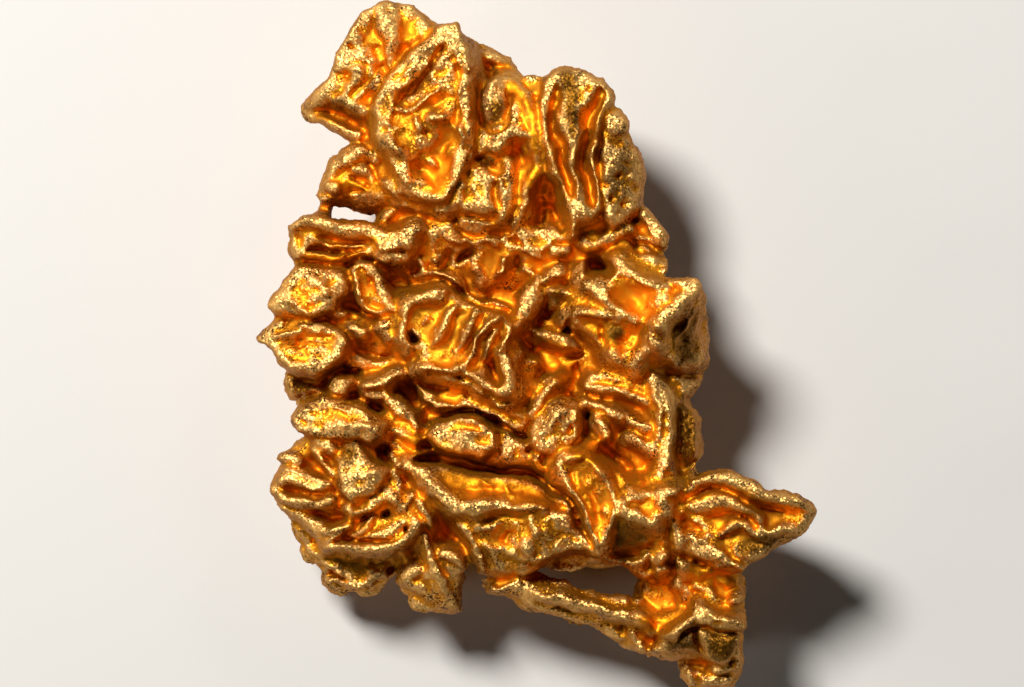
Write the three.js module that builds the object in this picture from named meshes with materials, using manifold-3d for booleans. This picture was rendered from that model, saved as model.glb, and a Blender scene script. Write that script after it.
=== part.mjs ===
// Crystalline gold nugget, one grown solid: ribbed lobes and skeletal (hopper) plates on a thick
// crumpled sheet. Millimetres, +Z up. It lies on its back on a few worn flats at z = 0.
import * as THREE from 'three';
import { ConvexGeometry } from 'three/addons/geometries/ConvexGeometry.js';
import { mergeVertices } from 'three/addons/utils/BufferGeometryUtils.js';
import Module from 'manifold-3d';

const wasm = await Module();
wasm.setup();

// Driving dimensions. A form is drawn at the size of a 30 mm nugget and scaled from there.
const nuggetLength = 30.0;
const drawnLength = 30.0;
const scale = nuggetLength / drawnLength;
const goldColour = 0xd9962e;
const smallBall = 0.57; // balls up to this radius are eight-faced, the larger ones twenty-faced
const rootLevel = 5.4; // the raised forms of the front stand on walls that go down to here
const shortestEdge = 0.15; // where forms grow together, edges shorter than this are closed up
const closingSteps = 6; // from the very shortest edges up to that length
const floorDepth = 20; // reach of the block that wears the resting flats

// ---------------------------------------------------------------- forms

// The points of a faceted ball; every form below is wrapped around a few of these.
function ball([x, y, z, r]) {
  const geometry = r > smallBall ? new THREE.IcosahedronGeometry(r) : new THREE.OctahedronGeometry(r);
  const place = geometry.getAttribute('position');
  const points = [];
  for (let i = 0; i < place.count; i += 1) {
    points.push(new THREE.Vector3().fromBufferAttribute(place, i).add(new THREE.Vector3(x, y, z)));
  }
  return points;
}

// A closed three.js geometry as a solid that can be joined and cut.
function solidOf(geometry) {
  const bare = geometry.index ? geometry.clone() : geometry;
  bare.deleteAttribute('normal');
  bare.deleteAttribute('uv');
  const merged = mergeVertices(bare, 1e-5);
  return new wasm.Manifold(new wasm.Mesh({
    numProp: 3,
    vertProperties: new Float32Array(merged.getAttribute('position').array),
    triVerts: new Uint32Array(merged.getIndex().array),
  }));
}

// A convex lump or plate stretched over balls, each given as [x, y, z, radius], with its root.
function lobe(...balls) {
  const roots = balls.filter(([, , z]) => z > rootLevel).map(([x, y, , r]) => [x, y, rootLevel, r]);
  return [solidOf(new ConvexGeometry([...balls, ...roots].flatMap(ball)))];
}

// A bar that runs from ball to ball, thickening and thinning with them.
function rib(...balls) {
  return balls.slice(1).flatMap((next, i) => lobe(balls[i], next));
}

// A round-bottomed groove cut along balls.
function groove(...balls) {
  return balls.slice(1).map((next, i) => solidOf(new ConvexGeometry([...ball(balls[i]), ...ball(next)])));
}

// An oval: a ball squeezed to three half-widths and turned about Z.
function oval([x, y, z], [rx, ry, rz], turn = 0) {
  const geometry = new THREE.IcosahedronGeometry(1, 0);
  geometry.scale(rx, ry, rz);
  geometry.rotateZ(THREE.MathUtils.degToRad(turn));
  geometry.translate(x, y, z);
  return [solidOf(geometry)];
}

// ---------------------------------------------------------------- the nugget, region by region
// Each region gives its raised forms and the hollows sunk into them.

// The thick sheet that everything grew on, in a few overlapping slabs.
function sheet() {
  return {
    raised: [
      lobe([-6.8, 12.4, 4.0, 1.4], [-3.4, 12.0, 4.6, 1.5], [-6.6, 9.6, 4.2, 1.8], [-2.8, 8.6, 4.8, 2.0]),
      lobe([-4.4, 9.4, 4.6, 1.9], [0.6, 9.6, 4.8, 1.8], [2.2, 7.2, 4.6, 2.0], [-4.2, 5.6, 4.4, 1.8]),
      lobe([-4.6, 5.2, 4.2, 1.6], [2.8, 5.4, 4.4, 1.9], [3.4, 3.0, 4.4, 1.8], [-5.6, 3.0, 3.9, 1.6]),
      lobe([-8.4, 4.3, 4.5, 1.1], [-4.4, 4.2, 4.2, 1.5], [-4.4, 1.4, 4.4, 1.9], [-8.6, 1.6, 4.2, 1.7]),
      lobe([-8.4, 1.4, 4.3, 1.7], [0.0, 2.6, 4.6, 2.2], [0.2, -2.4, 4.6, 2.4], [-8.2, -2.4, 4.2, 1.7]),
      lobe([0.0, 2.2, 4.9, 2.3], [4.8, 1.0, 5.0, 2.1], [4.8, -3.8, 4.5, 1.9], [0.4, -4.4, 4.6, 2.3]),
      lobe([-8.0, -2.8, 4.2, 1.7], [0.6, -2.8, 4.6, 2.3], [0.6, -6.2, 4.8, 2.0], [-7.6, -6.4, 4.0, 2.1]),
      lobe([-4.0, -5.6, 4.8, 1.7], [3.0, -5.4, 4.6, 1.9], [2.4, -7.6, 4.6, 1.6], [-1.4, -8.2, 4.6, 1.5]),
      lobe([0.2, -8.8, 4.6, 0.9], [4.4, -9.0, 4.6, 0.9], [4.4, -7.6, 4.8, 1.2]),
      lobe([3.4, -5.4, 4.6, 1.9], [6.6, -7.4, 4.8, 1.4], [6.6, -9.4, 4.6, 1.5], [4.4, -7.8, 5.2, 1.5]),
      lobe([5.9, -9.0, 4.6, 1.5], [7.9, -10.8, 4.5, 1.1], [7.7, -12.8, 4.6, 1.2], [5.6, -12.2, 4.6, 1.2]),
    ],
    hollows: [],
  };
}

// Top left: a low crown of rounded prongs with a spur at its left end.
function crown() {
  return {
    raised: [
      rib([-9.9, 10.3, 4.3, 0.36], [-9.2, 10.9, 4.8, 0.66], [-8.4, 12.2, 5.4, 0.7], [-7.4, 13.8, 5.6, 0.78]),
      rib([-7.3, 14.0, 5.5, 0.8], [-6.4, 14.3, 5.5, 0.76], [-5.6, 14.1, 5.3, 0.6], [-4.8, 13.6, 5.2, 0.6]),
      rib([-9.7, 9.95, 4.3, 0.34], [-8.8, 9.5, 4.6, 0.4], [-7.7, 9.3, 4.8, 0.5]),
      rib([-7.9, 11.6, 5.6, 0.62], [-6.6, 11.4, 5.6, 0.7], [-7.0, 13.0, 5.2, 0.8]),
    ],
    hollows: [
      oval([-8.3, 10.25, 5.7], [0.85, 0.36, 0.8], -12),
      groove([-5.8, 13.6, 6.4, 0.42], [-6.5, 12.5, 6.4, 0.4], [-7.6, 12.5, 6.5, 0.3]),
    ],
  };
}

// The large triangular hopper plate with its raised rims and pitted floor, and the lobe behind it.
function triangleHopper() {
  return {
    raised: [
      lobe([-3.7, 13.1, 6.6, 0.6], [-6.2, 10.4, 6.2, 0.8], [-4.4, 6.6, 6.6, 0.8], [-3.2, 9.6, 7.0, 0.8]),
      rib([-3.6, 13.4, 8.2, 0.46], [-5.2, 12.4, 7.6, 0.4], [-6.5, 10.9, 7.0, 0.42], [-6.5, 9.3, 7.0, 0.4]),
      rib([-6.5, 9.3, 7.0, 0.4], [-5.9, 7.6, 7.2, 0.38], [-4.9, 6.2, 7.2, 0.36]),
      rib([-3.4, 13.3, 8.3, 0.5], [-3.2, 11.5, 9.0, 0.44], [-3.1, 9.5, 9.2, 0.44], [-3.2, 8.0, 8.8, 0.4]),
      rib([-4.6, 10.0, 7.9, 0.42], [-3.6, 9.8, 8.3, 0.4]),
      rib([-2.6, 12.8, 5.8, 0.5], [-1.5, 12.4, 5.8, 0.55], [-1.3, 11.8, 5.6, 0.5]),
      rib([-6.2, 7.1, 6.4, 0.36], [-5.3, 6.2, 6.6, 0.36], [-4.2, 5.9, 6.6, 0.4]),
    ],
    hollows: [
      oval([-4.2, 7.6, 8.6], [0.72, 1.5, 1.3], 6),
      oval([-4.5, 11.5, 9.0], [0.7, 1.2, 1.5], -26),
      oval([-5.6, 9.6, 8.6], [0.46, 0.9, 1.2], 14),
    ],
  };
}

// Curled, facetted ribs between the hopper and the twin fin.
function curledRibs() {
  return {
    raised: [
      lobe([-1.6, 10.9, 6.6, 0.6], [-1.6, 9.6, 7.6, 0.62], [-0.5, 10.8, 6.8, 0.5], [-0.5, 9.4, 7.8, 0.5]),
      rib([-0.3, 11.1, 7.0, 0.42], [0.0, 9.6, 8.3, 0.42], [0.2, 8.1, 8.2, 0.36]),
      rib([-0.5, 9.3, 8.6, 0.34], [-1.3, 9.2, 8.6, 0.34], [-2.1, 8.4, 8.5, 0.36], [-2.6, 7.2, 7.8, 0.5]),
      lobe([-2.6, 8.0, 6.6, 0.6], [-1.4, 7.6, 6.8, 0.5], [-1.5, 5.3, 6.4, 0.4], [-2.9, 5.2, 6.4, 0.5]),
      rib([0.2, 8.1, 8.0, 0.34], [-0.4, 7.2, 8.0, 0.32], [-0.6, 6.2, 7.6, 0.32], [-1.2, 5.3, 6.9, 0.34]),
      rib([-1.3, 7.3, 7.8, 0.3], [-1.1, 6.4, 7.6, 0.28], [-1.4, 5.5, 7.0, 0.3]),
      rib([-0.9, 4.8, 6.2, 0.36], [0.4, 4.7, 6.4, 0.36], [1.3, 4.5, 6.4, 0.4]),
    ],
    hollows: [
      oval([-0.9, 8.2, 9.0], [0.5, 0.8, 1.4], -20),
      oval([-1.9, 6.3, 8.0], [0.3, 0.62, 0.9]),
      groove([0.75, 7.2, 8.2, 0.32], [0.6, 5.6, 7.4, 0.36]),
    ],
  };
}

// The twin fin with its two long grooves, and the pitted fin to its right.
function fins() {
  return {
    raised: [
      lobe([0.9, 10.9, 6.0, 0.7], [2.4, 10.8, 6.0, 0.7], [1.3, 6.6, 6.2, 0.8], [2.4, 6.4, 6.4, 0.8]),
      rib([0.8, 11.3, 7.0, 0.44], [0.62, 9.6, 8.2, 0.36], [0.85, 7.9, 8.3, 0.36], [1.4, 5.6, 7.4, 0.34]),
      rib([1.6, 11.4, 7.2, 0.46], [1.45, 9.8, 8.8, 0.42], [1.65, 8.2, 9.1, 0.42], [1.6, 6.4, 8.3, 0.36]),
      rib([2.4, 11.4, 7.2, 0.48], [2.8, 10.4, 8.0, 0.42], [2.6, 8.4, 9.0, 0.4], [2.6, 6.3, 8.4, 0.36]),
      rib([3.4, 9.65, 7.6, 0.52], [3.2, 8.6, 7.8, 0.52], [3.1, 6.8, 7.8, 0.5]),
      lobe([3.2, 8.6, 6.6, 0.5], [4.1, 8.0, 6.2, 0.4], [4.3, 6.7, 6.2, 0.46], [3.9, 5.7, 6.2, 0.44],
        [3.1, 5.8, 7.0, 0.5]),
    ],
    hollows: [
      groove([1.15, 10.6, 8.3, 0.26], [1.1, 8.8, 9.0, 0.26], [1.35, 7.0, 8.6, 0.24]),
      groove([2.1, 10.4, 8.4, 0.34], [2.1, 8.8, 9.2, 0.34], [2.1, 6.9, 9.0, 0.3]),
    ],
  };
}

// Right shoulder below the fins: a short ridge, a small lobe and the hopper with its long ridge.
function rightShoulder() {
  return {
    raised: [
      rib([4.3, 5.6, 6.2, 0.42], [5.35, 4.55, 6.0, 0.42], [4.0, 4.7, 6.0, 0.4]),
      lobe([4.5, 3.5, 6.0, 0.52], [5.2, 3.5, 6.0, 0.5], [4.9, 2.9, 6.2, 0.42]),
      rib([2.0, 4.5, 7.0, 0.5], [3.2, 4.6, 6.8, 0.46]),
      lobe([2.0, 1.7, 7.4, 0.5], [4.4, 2.9, 7.4, 0.5], [4.6, 0.4, 7.6, 0.5], [3.6, -0.6, 7.2, 0.5]),
      rib([1.9, 2.5, 8.8, 0.34], [2.7, 2.4, 9.0, 0.34], [3.3, 1.6, 9.0, 0.32], [4.2, 1.1, 9.2, 0.3]),
      rib([3.6, 3.5, 7.6, 0.2], [4.3, 2.9, 8.2, 0.24], [5.4, 2.5, 8.6, 0.24]),
      rib([6.55, 2.65, 9.0, 0.6], [5.9, 1.7, 9.4, 0.42], [5.2, 0.7, 9.4, 0.36], [4.4, -0.6, 8.6, 0.3]),
      rib([1.7, 1.0, 8.2, 0.32], [2.6, 0.0, 8.2, 0.34], [3.6, -0.9, 8.0, 0.36]),
      lobe([6.2, 2.0, 7.0, 0.6], [7.0, 1.6, 6.8, 0.5], [6.9, -0.4, 6.0, 0.55], [5.8, 0.4, 7.4, 0.6],
        [5.6, -1.2, 5.6, 0.7]),
    ],
    hollows: [
      oval([4.1, 1.9, 9.2], [0.72, 0.5, 1.2], -20),
      groove([2.0, 1.6, 8.9, 0.3], [3.1, 0.7, 9.0, 0.36], [3.9, 0.2, 9.0, 0.32]),
      oval([3.0, 3.2, 7.2], [0.7, 0.36, 1.4], -20),
      groove([6.2, 1.0, 8.4, 0.26], [5.6, -0.1, 8.2, 0.26]),
    ],
  };
}

// Left arm: the brow with a gap under it, its post, and the slotted bar below.
function leftArm() {
  return {
    raised: [
      rib([-8.5, 7.8, 5.4, 0.6], [-8.9, 6.9, 5.8, 0.6], [-7.9, 6.6, 6.0, 0.52], [-6.4, 6.8, 6.0, 0.6]),
      lobe([-8.4, 7.6, 4.6, 0.6], [-6.4, 8.4, 4.6, 0.8], [-6.0, 6.8, 4.8, 0.7]),
      rib([-9.25, 6.4, 5.4, 0.24], [-9.25, 5.2, 5.4, 0.24]),
      rib([-6.1, 6.3, 5.4, 0.5], [-5.9, 5.4, 5.8, 0.52], [-4.8, 5.2, 5.8, 0.6]),
      rib([-10.1, 4.9, 6.2, 0.48], [-8.6, 5.1, 6.8, 0.4], [-7.2, 5.0, 7.0, 0.42], [-5.4, 4.9, 6.8, 0.44]),
      rib([-10.2, 4.2, 6.2, 0.48], [-8.4, 4.0, 6.8, 0.38], [-7.0, 4.1, 7.0, 0.4], [-6.2, 3.7, 6.8, 0.4]),
      lobe([-9.8, 4.6, 5.4, 0.7], [-6.2, 4.5, 5.6, 0.8]),
    ],
    hollows: [],
  };
}

// Left side: two blocks above the split leaf, a row of knobs below it.
function leftBlocks() {
  return {
    raised: [
      lobe([-11.0, 1.9, 6.4, 0.46], [-10.4, 2.8, 6.4, 0.5], [-8.8, 2.9, 6.8, 0.5], [-9.2, 1.9, 6.8, 0.5]),
      lobe([-10.6, 2.0, 4.8, 0.7], [-8.6, 2.2, 5.0, 0.9]),
      lobe([-7.7, 2.9, 6.6, 0.5], [-7.0, 2.9, 6.6, 0.46], [-6.5, 1.8, 6.8, 0.46], [-7.6, 2.2, 6.6, 0.5]),
      rib([-11.7, 0.4, 6.0, 0.44], [-10.6, 0.75, 6.8, 0.46], [-9.2, 0.55, 7.2, 0.4], [-8.6, 0.1, 7.0, 0.4]),
      rib([-11.7, 0.35, 6.0, 0.44], [-10.6, -0.6, 6.6, 0.46], [-9.4, -0.6, 7.0, 0.42], [-8.6, 0.0, 7.0, 0.4]),
      lobe([-11.2, 0.3, 5.2, 0.6], [-8.8, 0.6, 5.4, 0.8], [-9.0, -0.4, 5.4, 0.8]),
      rib([-7.9, 0.7, 6.2, 0.5], [-6.8, 0.8, 6.4, 0.5], [-6.2, 1.2, 6.6, 0.4]),
      rib([-10.5, -1.8, 5.0, 0.6], [-9.2, -1.7, 6.0, 0.5], [-8.1, -1.6, 6.6, 0.46]),
      rib([-7.2, -2.0, 6.6, 0.4], [-6.3, -1.6, 7.0, 0.4], [-5.9, -2.8, 6.8, 0.4], [-5.4, -3.5, 6.6, 0.36]),
    ],
    hollows: [
      oval([-7.2, 2.6, 7.2], [0.36, 0.34, 0.6]),
    ],
  };
}

// Middle: the ribbed leaf, its ring and shelf, the smooth slope above and the oval below.
function middle() {
  return {
    raised: [
      rib([-5.4, 0.2, 6.8, 0.42], [-5.3, 1.4, 7.4, 0.46], [-4.6, 2.1, 8.0, 0.44], [-3.2, 1.7, 8.2, 0.42],
        [-1.4, 1.1, 8.0, 0.4]),
      rib([-4.9, -0.6, 7.4, 0.4], [-3.9, -0.7, 8.0, 0.4], [-2.9, -0.6, 8.2, 0.4]),
      lobe([-5.0, 1.2, 6.4, 0.7], [-1.2, 0.8, 6.6, 0.7], [-4.6, -0.6, 6.4, 0.7], [-1.4, -1.0, 6.4, 0.7]),
      rib([-4.3, 0.2, 7.6, 0.3], [-3.3, 1.4, 8.3, 0.32]),
      rib([-3.3, 0.1, 7.8, 0.32], [-2.4, 1.2, 8.4, 0.32]),
      rib([-2.6, -0.3, 7.8, 0.24], [-1.4, 1.1, 8.3, 0.24]),
      rib([-1.8, -0.3, 8.0, 0.24], [-0.8, 0.9, 7.8, 0.3]),
      rib([-1.4, -0.4, 8.8, 0.3], [-1.1, -1.3, 9.1, 0.3], [-1.7, -1.9, 9.1, 0.3], [-2.5, -1.5, 8.7, 0.32],
        [-3.0, -0.8, 8.3, 0.34]),
      rib([-3.6, -2.4, 7.0, 0.4], [-2.2, -2.4, 7.6, 0.4], [-0.6, -3.2, 7.4, 0.36]),
      lobe([-4.6, -2.0, 5.6, 0.7], [-0.8, -2.8, 6.2, 0.8], [-0.6, -1.0, 6.0, 0.8]),
      lobe([-4.4, -3.9, 7.4, 0.56], [-3.6, -3.7, 7.7, 0.6], [-2.3, -4.1, 7.7, 0.58]),
      rib([-6.2, -4.2, 6.0, 0.5], [-3.4, -4.6, 6.4, 0.5], [-0.6, -4.8, 6.6, 0.5], [1.2, -4.8, 6.6, 0.46]),
      rib([-0.3, -3.0, 7.4, 0.2], [0.9, -1.5, 8.0, 0.2]),
      lobe([-0.1, 2.3, 7.4, 0.56], [0.0, 1.6, 7.2, 0.5], [0.9, 2.0, 7.0, 0.42]),
      rib([-4.6, 3.5, 5.6, 0.5], [-1.5, 3.4, 5.8, 0.5], [1.0, 3.6, 6.4, 0.4]),
      rib([0.2, 0.6, 7.0, 0.24], [1.0, 0.4, 7.4, 0.26], [1.7, 0.0, 7.6, 0.24]),
      rib([-0.6, -0.3, 6.8, 0.4], [0.6, -0.9, 6.4, 0.4]),
    ],
    hollows: [
      groove([-6.3, 2.9, 6.0, 0.2], [-4.0, 2.9, 6.0, 0.24], [-2.0, 2.1, 6.2, 0.24]),
      oval([-1.85, -1.1, 9.2], [0.36, 0.46, 1.3]),
      oval([-4.0, -1.9, 7.2], [0.95, 0.36, 1.3], -8),
      groove([-4.4, -2.95, 6.6, 0.16], [-1.6, -3.35, 6.8, 0.16], [-0.4, -4.0, 6.8, 0.16]),
      oval([-2.5, -4.15, 8.4], [0.3, 0.26, 0.9]),
    ],
  };
}

// Right of the middle: the eyelet, small cross ribs and the smooth column on the right edge.
function eyeletAndColumn() {
  return {
    raised: [
      rib([0.3, -4.1, 8.2, 0.5], [0.2, -3.3, 8.6, 0.4], [1.0, -2.7, 8.9, 0.4], [1.6, -2.9, 8.9, 0.38],
        [1.2, -4.0, 8.6, 0.46], [0.3, -4.1, 8.2, 0.5]),
      lobe([0.4, -3.8, 6.4, 0.8], [1.2, -3.0, 6.8, 0.8]),
      rib([2.4, -1.7, 7.0, 0.2], [4.8, -2.3, 7.0, 0.2]),
      rib([2.4, -2.6, 7.2, 0.26], [3.7, -3.1, 7.2, 0.28]),
      rib([2.9, -3.4, 7.4, 0.38], [2.9, -4.0, 7.4, 0.36]),
      rib([4.4, -4.1, 6.6, 0.4], [5.0, -4.4, 6.6, 0.4]),
      rib([5.0, -1.0, 6.4, 0.5], [5.5, -2.6, 7.4, 0.46], [5.6, -4.4, 7.2, 0.5], [5.3, -6.0, 7.0, 0.5]),
      rib([6.2, -2.4, 6.0, 0.4], [6.8, -3.2, 5.8, 0.52], [6.7, -4.4, 5.6, 0.56], [6.1, -5.3, 5.4, 0.6]),
    ],
    hollows: [
      oval([0.85, -3.4, 9.3], [0.2, 0.34, 1.4], -30),
      oval([3.5, -5.2, 7.4], [1.1, 0.7, 1.9], 10),
      oval([5.0, -1.3, 7.6], [0.3, 0.5, 0.9]),
    ],
  };
}

// Lower left: a bar and a knob above the big ridged hopper that curls under.
function lowerLeft() {
  return {
    raised: [
      lobe([-10.0, -3.3, 6.8, 0.5], [-8.9, -2.8, 7.6, 0.5], [-7.2, -3.6, 8.0, 0.46], [-9.2, -3.6, 7.4, 0.46]),
      lobe([-9.8, -3.3, 5.4, 0.7], [-7.2, -3.4, 5.8, 0.8]),
      lobe([-7.9, -4.8, 8.0, 0.5], [-7.2, -5.2, 8.2, 0.5], [-7.6, -6.1, 8.0, 0.52], [-7.4, -5.4, 6.2, 0.9]),
      rib([-9.9, -4.5, 6.2, 0.36], [-8.9, -5.1, 6.8, 0.34]),
      lobe([-10.6, -6.2, 4.8, 0.7], [-9.6, -5.4, 5.4, 0.8], [-8.0, -6.4, 5.6, 0.8], [-9.4, -8.4, 4.0, 0.8],
        [-6.8, -8.6, 4.2, 0.9]),
      rib([-10.7, -5.9, 6.0, 0.34], [-9.2, -6.0, 6.9, 0.34]),
      rib([-11.1, -6.5, 5.6, 0.36], [-10.2, -6.8, 6.2, 0.34], [-9.0, -6.9, 6.8, 0.34], [-8.4, -6.6, 7.2, 0.4]),
      rib([-10.9, -7.2, 5.2, 0.36], [-10.0, -8.2, 5.2, 0.4], [-9.2, -8.7, 5.6, 0.36], [-8.0, -8.9, 6.2, 0.34],
        [-6.8, -8.8, 6.6, 0.34], [-5.7, -8.2, 6.8, 0.36]),
      rib([-9.1, -8.0, 6.4, 0.3], [-8.0, -7.7, 7.0, 0.32]),
      rib([-7.7, -8.1, 6.4, 0.28], [-7.0, -7.4, 7.0, 0.3]),
      rib([-6.8, -8.2, 6.8, 0.24], [-6.1, -7.8, 7.0, 0.26]),
      rib([-7.6, -7.0, 6.9, 0.34], [-6.6, -6.6, 7.2, 0.34], [-6.0, -6.6, 7.4, 0.36], [-5.4, -7.0, 7.6, 0.34],
        [-4.7, -7.7, 7.2, 0.34]),
      lobe([-9.4, -9.2, 2.6, 0.7], [-7.8, -9.9, 2.4, 0.8], [-6.2, -9.3, 2.8, 0.9], [-8.0, -8.4, 3.6, 0.9]),
    ],
    hollows: [
      oval([-9.3, -7.4, 7.2], [0.8, 0.28, 1.4], 0),
      oval([-7.2, -8.4, 7.3], [1.2, 0.26, 2.0], 4),
      oval([-6.5, -7.5, 7.6], [0.34, 0.34, 2.0]),
    ],
  };
}

// Lower middle: the rimmed sheet with a crack above it, the small lobe at its left foot,
// and the blade that closes it on the right.
function lowerSheet() {
  return {
    raised: [
      rib([-6.0, -4.9, 7.2, 0.4], [-4.8, -5.4, 7.6, 0.4], [-4.4, -6.4, 8.0, 0.4], [-3.0, -6.8, 8.6, 0.4],
        [-1.2, -7.2, 8.8, 0.42], [0.2, -7.2, 8.6, 0.42], [1.2, -7.0, 8.0, 0.4]),
      lobe([-3.6, -7.0, 6.4, 0.6], [0.6, -7.4, 6.8, 0.7], [-2.4, -8.4, 6.2, 0.5], [0.6, -8.8, 5.6, 0.6]),
      lobe([-2.6, -8.2, 6.4, 0.5], [-0.4, -8.4, 6.8, 0.6], [-1.5, -9.9, 5.0, 0.5], [-0.4, -9.5, 5.0, 0.5]),
      rib([-4.9, -8.3, 6.6, 0.3], [-4.6, -9.4, 6.2, 0.4], [-4.0, -10.5, 5.6, 0.46], [-3.6, -11.4, 5.0, 0.46]),
      lobe([-4.4, -7.8, 4.8, 0.8], [-3.4, -9.2, 4.8, 0.6], [-5.4, -10.3, 4.2, 0.5], [-4.3, -11.0, 4.2, 0.6]),
      rib([1.6, -5.0, 8.6, 0.34], [2.7, -5.9, 9.0, 0.32], [3.0, -7.2, 9.0, 0.34], [2.8, -8.4, 8.0, 0.34]),
      rib([1.3, -5.2, 8.4, 0.3], [1.6, -6.4, 8.2, 0.28], [2.2, -7.6, 8.0, 0.28], [2.8, -8.5, 7.8, 0.32]),
      lobe([1.7, -5.4, 6.4, 0.5], [2.8, -6.2, 6.6, 0.5], [2.7, -8.2, 6.2, 0.5], [1.9, -7.0, 6.2, 0.4]),
    ],
    hollows: [
      groove([-5.0, -4.95, 7.0, 0.16], [-2.8, -5.3, 7.2, 0.2], [-0.8, -5.7, 7.2, 0.24], [1.0, -6.4, 7.6, 0.24],
        [2.0, -8.2, 7.0, 0.2]),
      groove([-3.4, -6.1, 8.6, 0.3], [-1.2, -6.4, 8.8, 0.34], [0.6, -6.6, 8.8, 0.3]),
      oval([-1.3, -8.4, 7.4], [0.22, 0.3, 0.8]),
      oval([2.3, -6.6, 9.2], [0.24, 0.9, 0.8], 14),
    ],
  };
}

// Lower right: the facetted block, the pointed wing and the foot with its slope.
function wingAndFoot() {
  return {
    raised: [
      lobe([4.1, -6.7, 8.6, 0.4], [5.4, -6.8, 8.4, 0.42], [4.9, -7.2, 8.2, 0.4], [4.0, -7.0, 6.4, 0.7]),
      lobe([3.9, -7.8, 8.4, 0.36], [4.7, -8.0, 8.2, 0.36], [3.5, -8.9, 7.6, 0.4], [4.5, -8.8, 7.6, 0.4],
        [4.2, -8.0, 6.0, 0.8]),
      rib([6.2, -6.8, 6.6, 0.36], [7.2, -6.0, 7.6, 0.36], [8.0, -5.8, 8.2, 0.36], [9.4, -6.3, 8.4, 0.36],
        [10.8, -6.7, 7.8, 0.38], [11.8, -7.35, 7.0, 0.4]),
      rib([7.9, -6.6, 7.6, 0.26], [8.8, -6.9, 8.2, 0.28], [9.6, -7.7, 8.2, 0.3], [10.8, -7.9, 7.6, 0.36],
        [11.7, -7.5, 7.0, 0.36]),
      rib([8.0, -8.0, 7.4, 0.28], [8.8, -7.8, 7.9, 0.3], [9.6, -8.2, 7.8, 0.36], [10.4, -8.2, 7.4, 0.36]),
      lobe([6.8, -6.8, 5.6, 0.7], [8.4, -6.6, 6.0, 0.8], [11.2, -7.4, 5.8, 0.5], [9.6, -8.4, 6.0, 0.6],
        [7.6, -8.6, 5.2, 0.8]),
      rib([6.2, -7.6, 6.6, 0.34], [6.7, -8.4, 6.8, 0.34], [7.7, -8.9, 7.0, 0.32], [8.8, -9.2, 6.8, 0.36]),
      lobe([8.6, -8.8, 5.6, 0.6], [8.8, -10.0, 5.4, 0.5], [8.5, -12.4, 5.4, 0.5], [7.2, -10.6, 4.8, 0.8]),
      rib([5.2, -9.2, 7.0, 0.42], [5.4, -9.9, 6.4, 0.4], [5.0, -11.0, 5.4, 0.5]),
      rib([5.6, -12.5, 6.6, 0.32], [6.8, -11.6, 7.4, 0.3], [7.6, -11.3, 7.6, 0.32], [8.6, -11.9, 7.2, 0.34]),
      lobe([6.4, -12.8, 6.4, 0.5], [8.3, -12.6, 6.8, 0.46], [8.1, -13.3, 6.2, 0.46], [6.2, -13.0, 5.4, 0.5]),
      rib([-0.2, -10.8, 5.6, 0.44], [1.4, -11.1, 5.8, 0.42], [2.9, -11.4, 5.8, 0.44], [4.4, -11.8, 5.6, 0.6],
        [5.6, -12.4, 5.2, 0.8]),
      rib([-1.9, -10.3, 4.6, 0.4], [-0.9, -11.1, 4.6, 0.38], [0.9, -11.5, 4.6, 0.36], [3.0, -12.0, 4.6, 0.46]),
      rib([-1.4, -9.9, 4.8, 0.5], [-0.3, -10.6, 5.0, 0.44]),
      rib([7.2, -13.5, 5.2, 0.5], [7.3, -14.5, 4.8, 0.5], [8.2, -14.4, 4.6, 0.6], [8.3, -13.4, 5.0, 0.6]),
    ],
    hollows: [
      groove([7.2, -6.9, 8.0, 0.3], [8.6, -7.4, 8.4, 0.3], [9.0, -7.6, 8.4, 0.26]),
      groove([9.2, -6.9, 8.9, 0.34], [10.4, -7.3, 8.6, 0.34]),
      oval([6.9, -8.0, 7.6], [0.4, 0.26, 0.9], 0),
      oval([7.6, -10.2, 6.8], [0.8, 0.7, 1.3], 0),
    ],
  };
}

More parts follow.
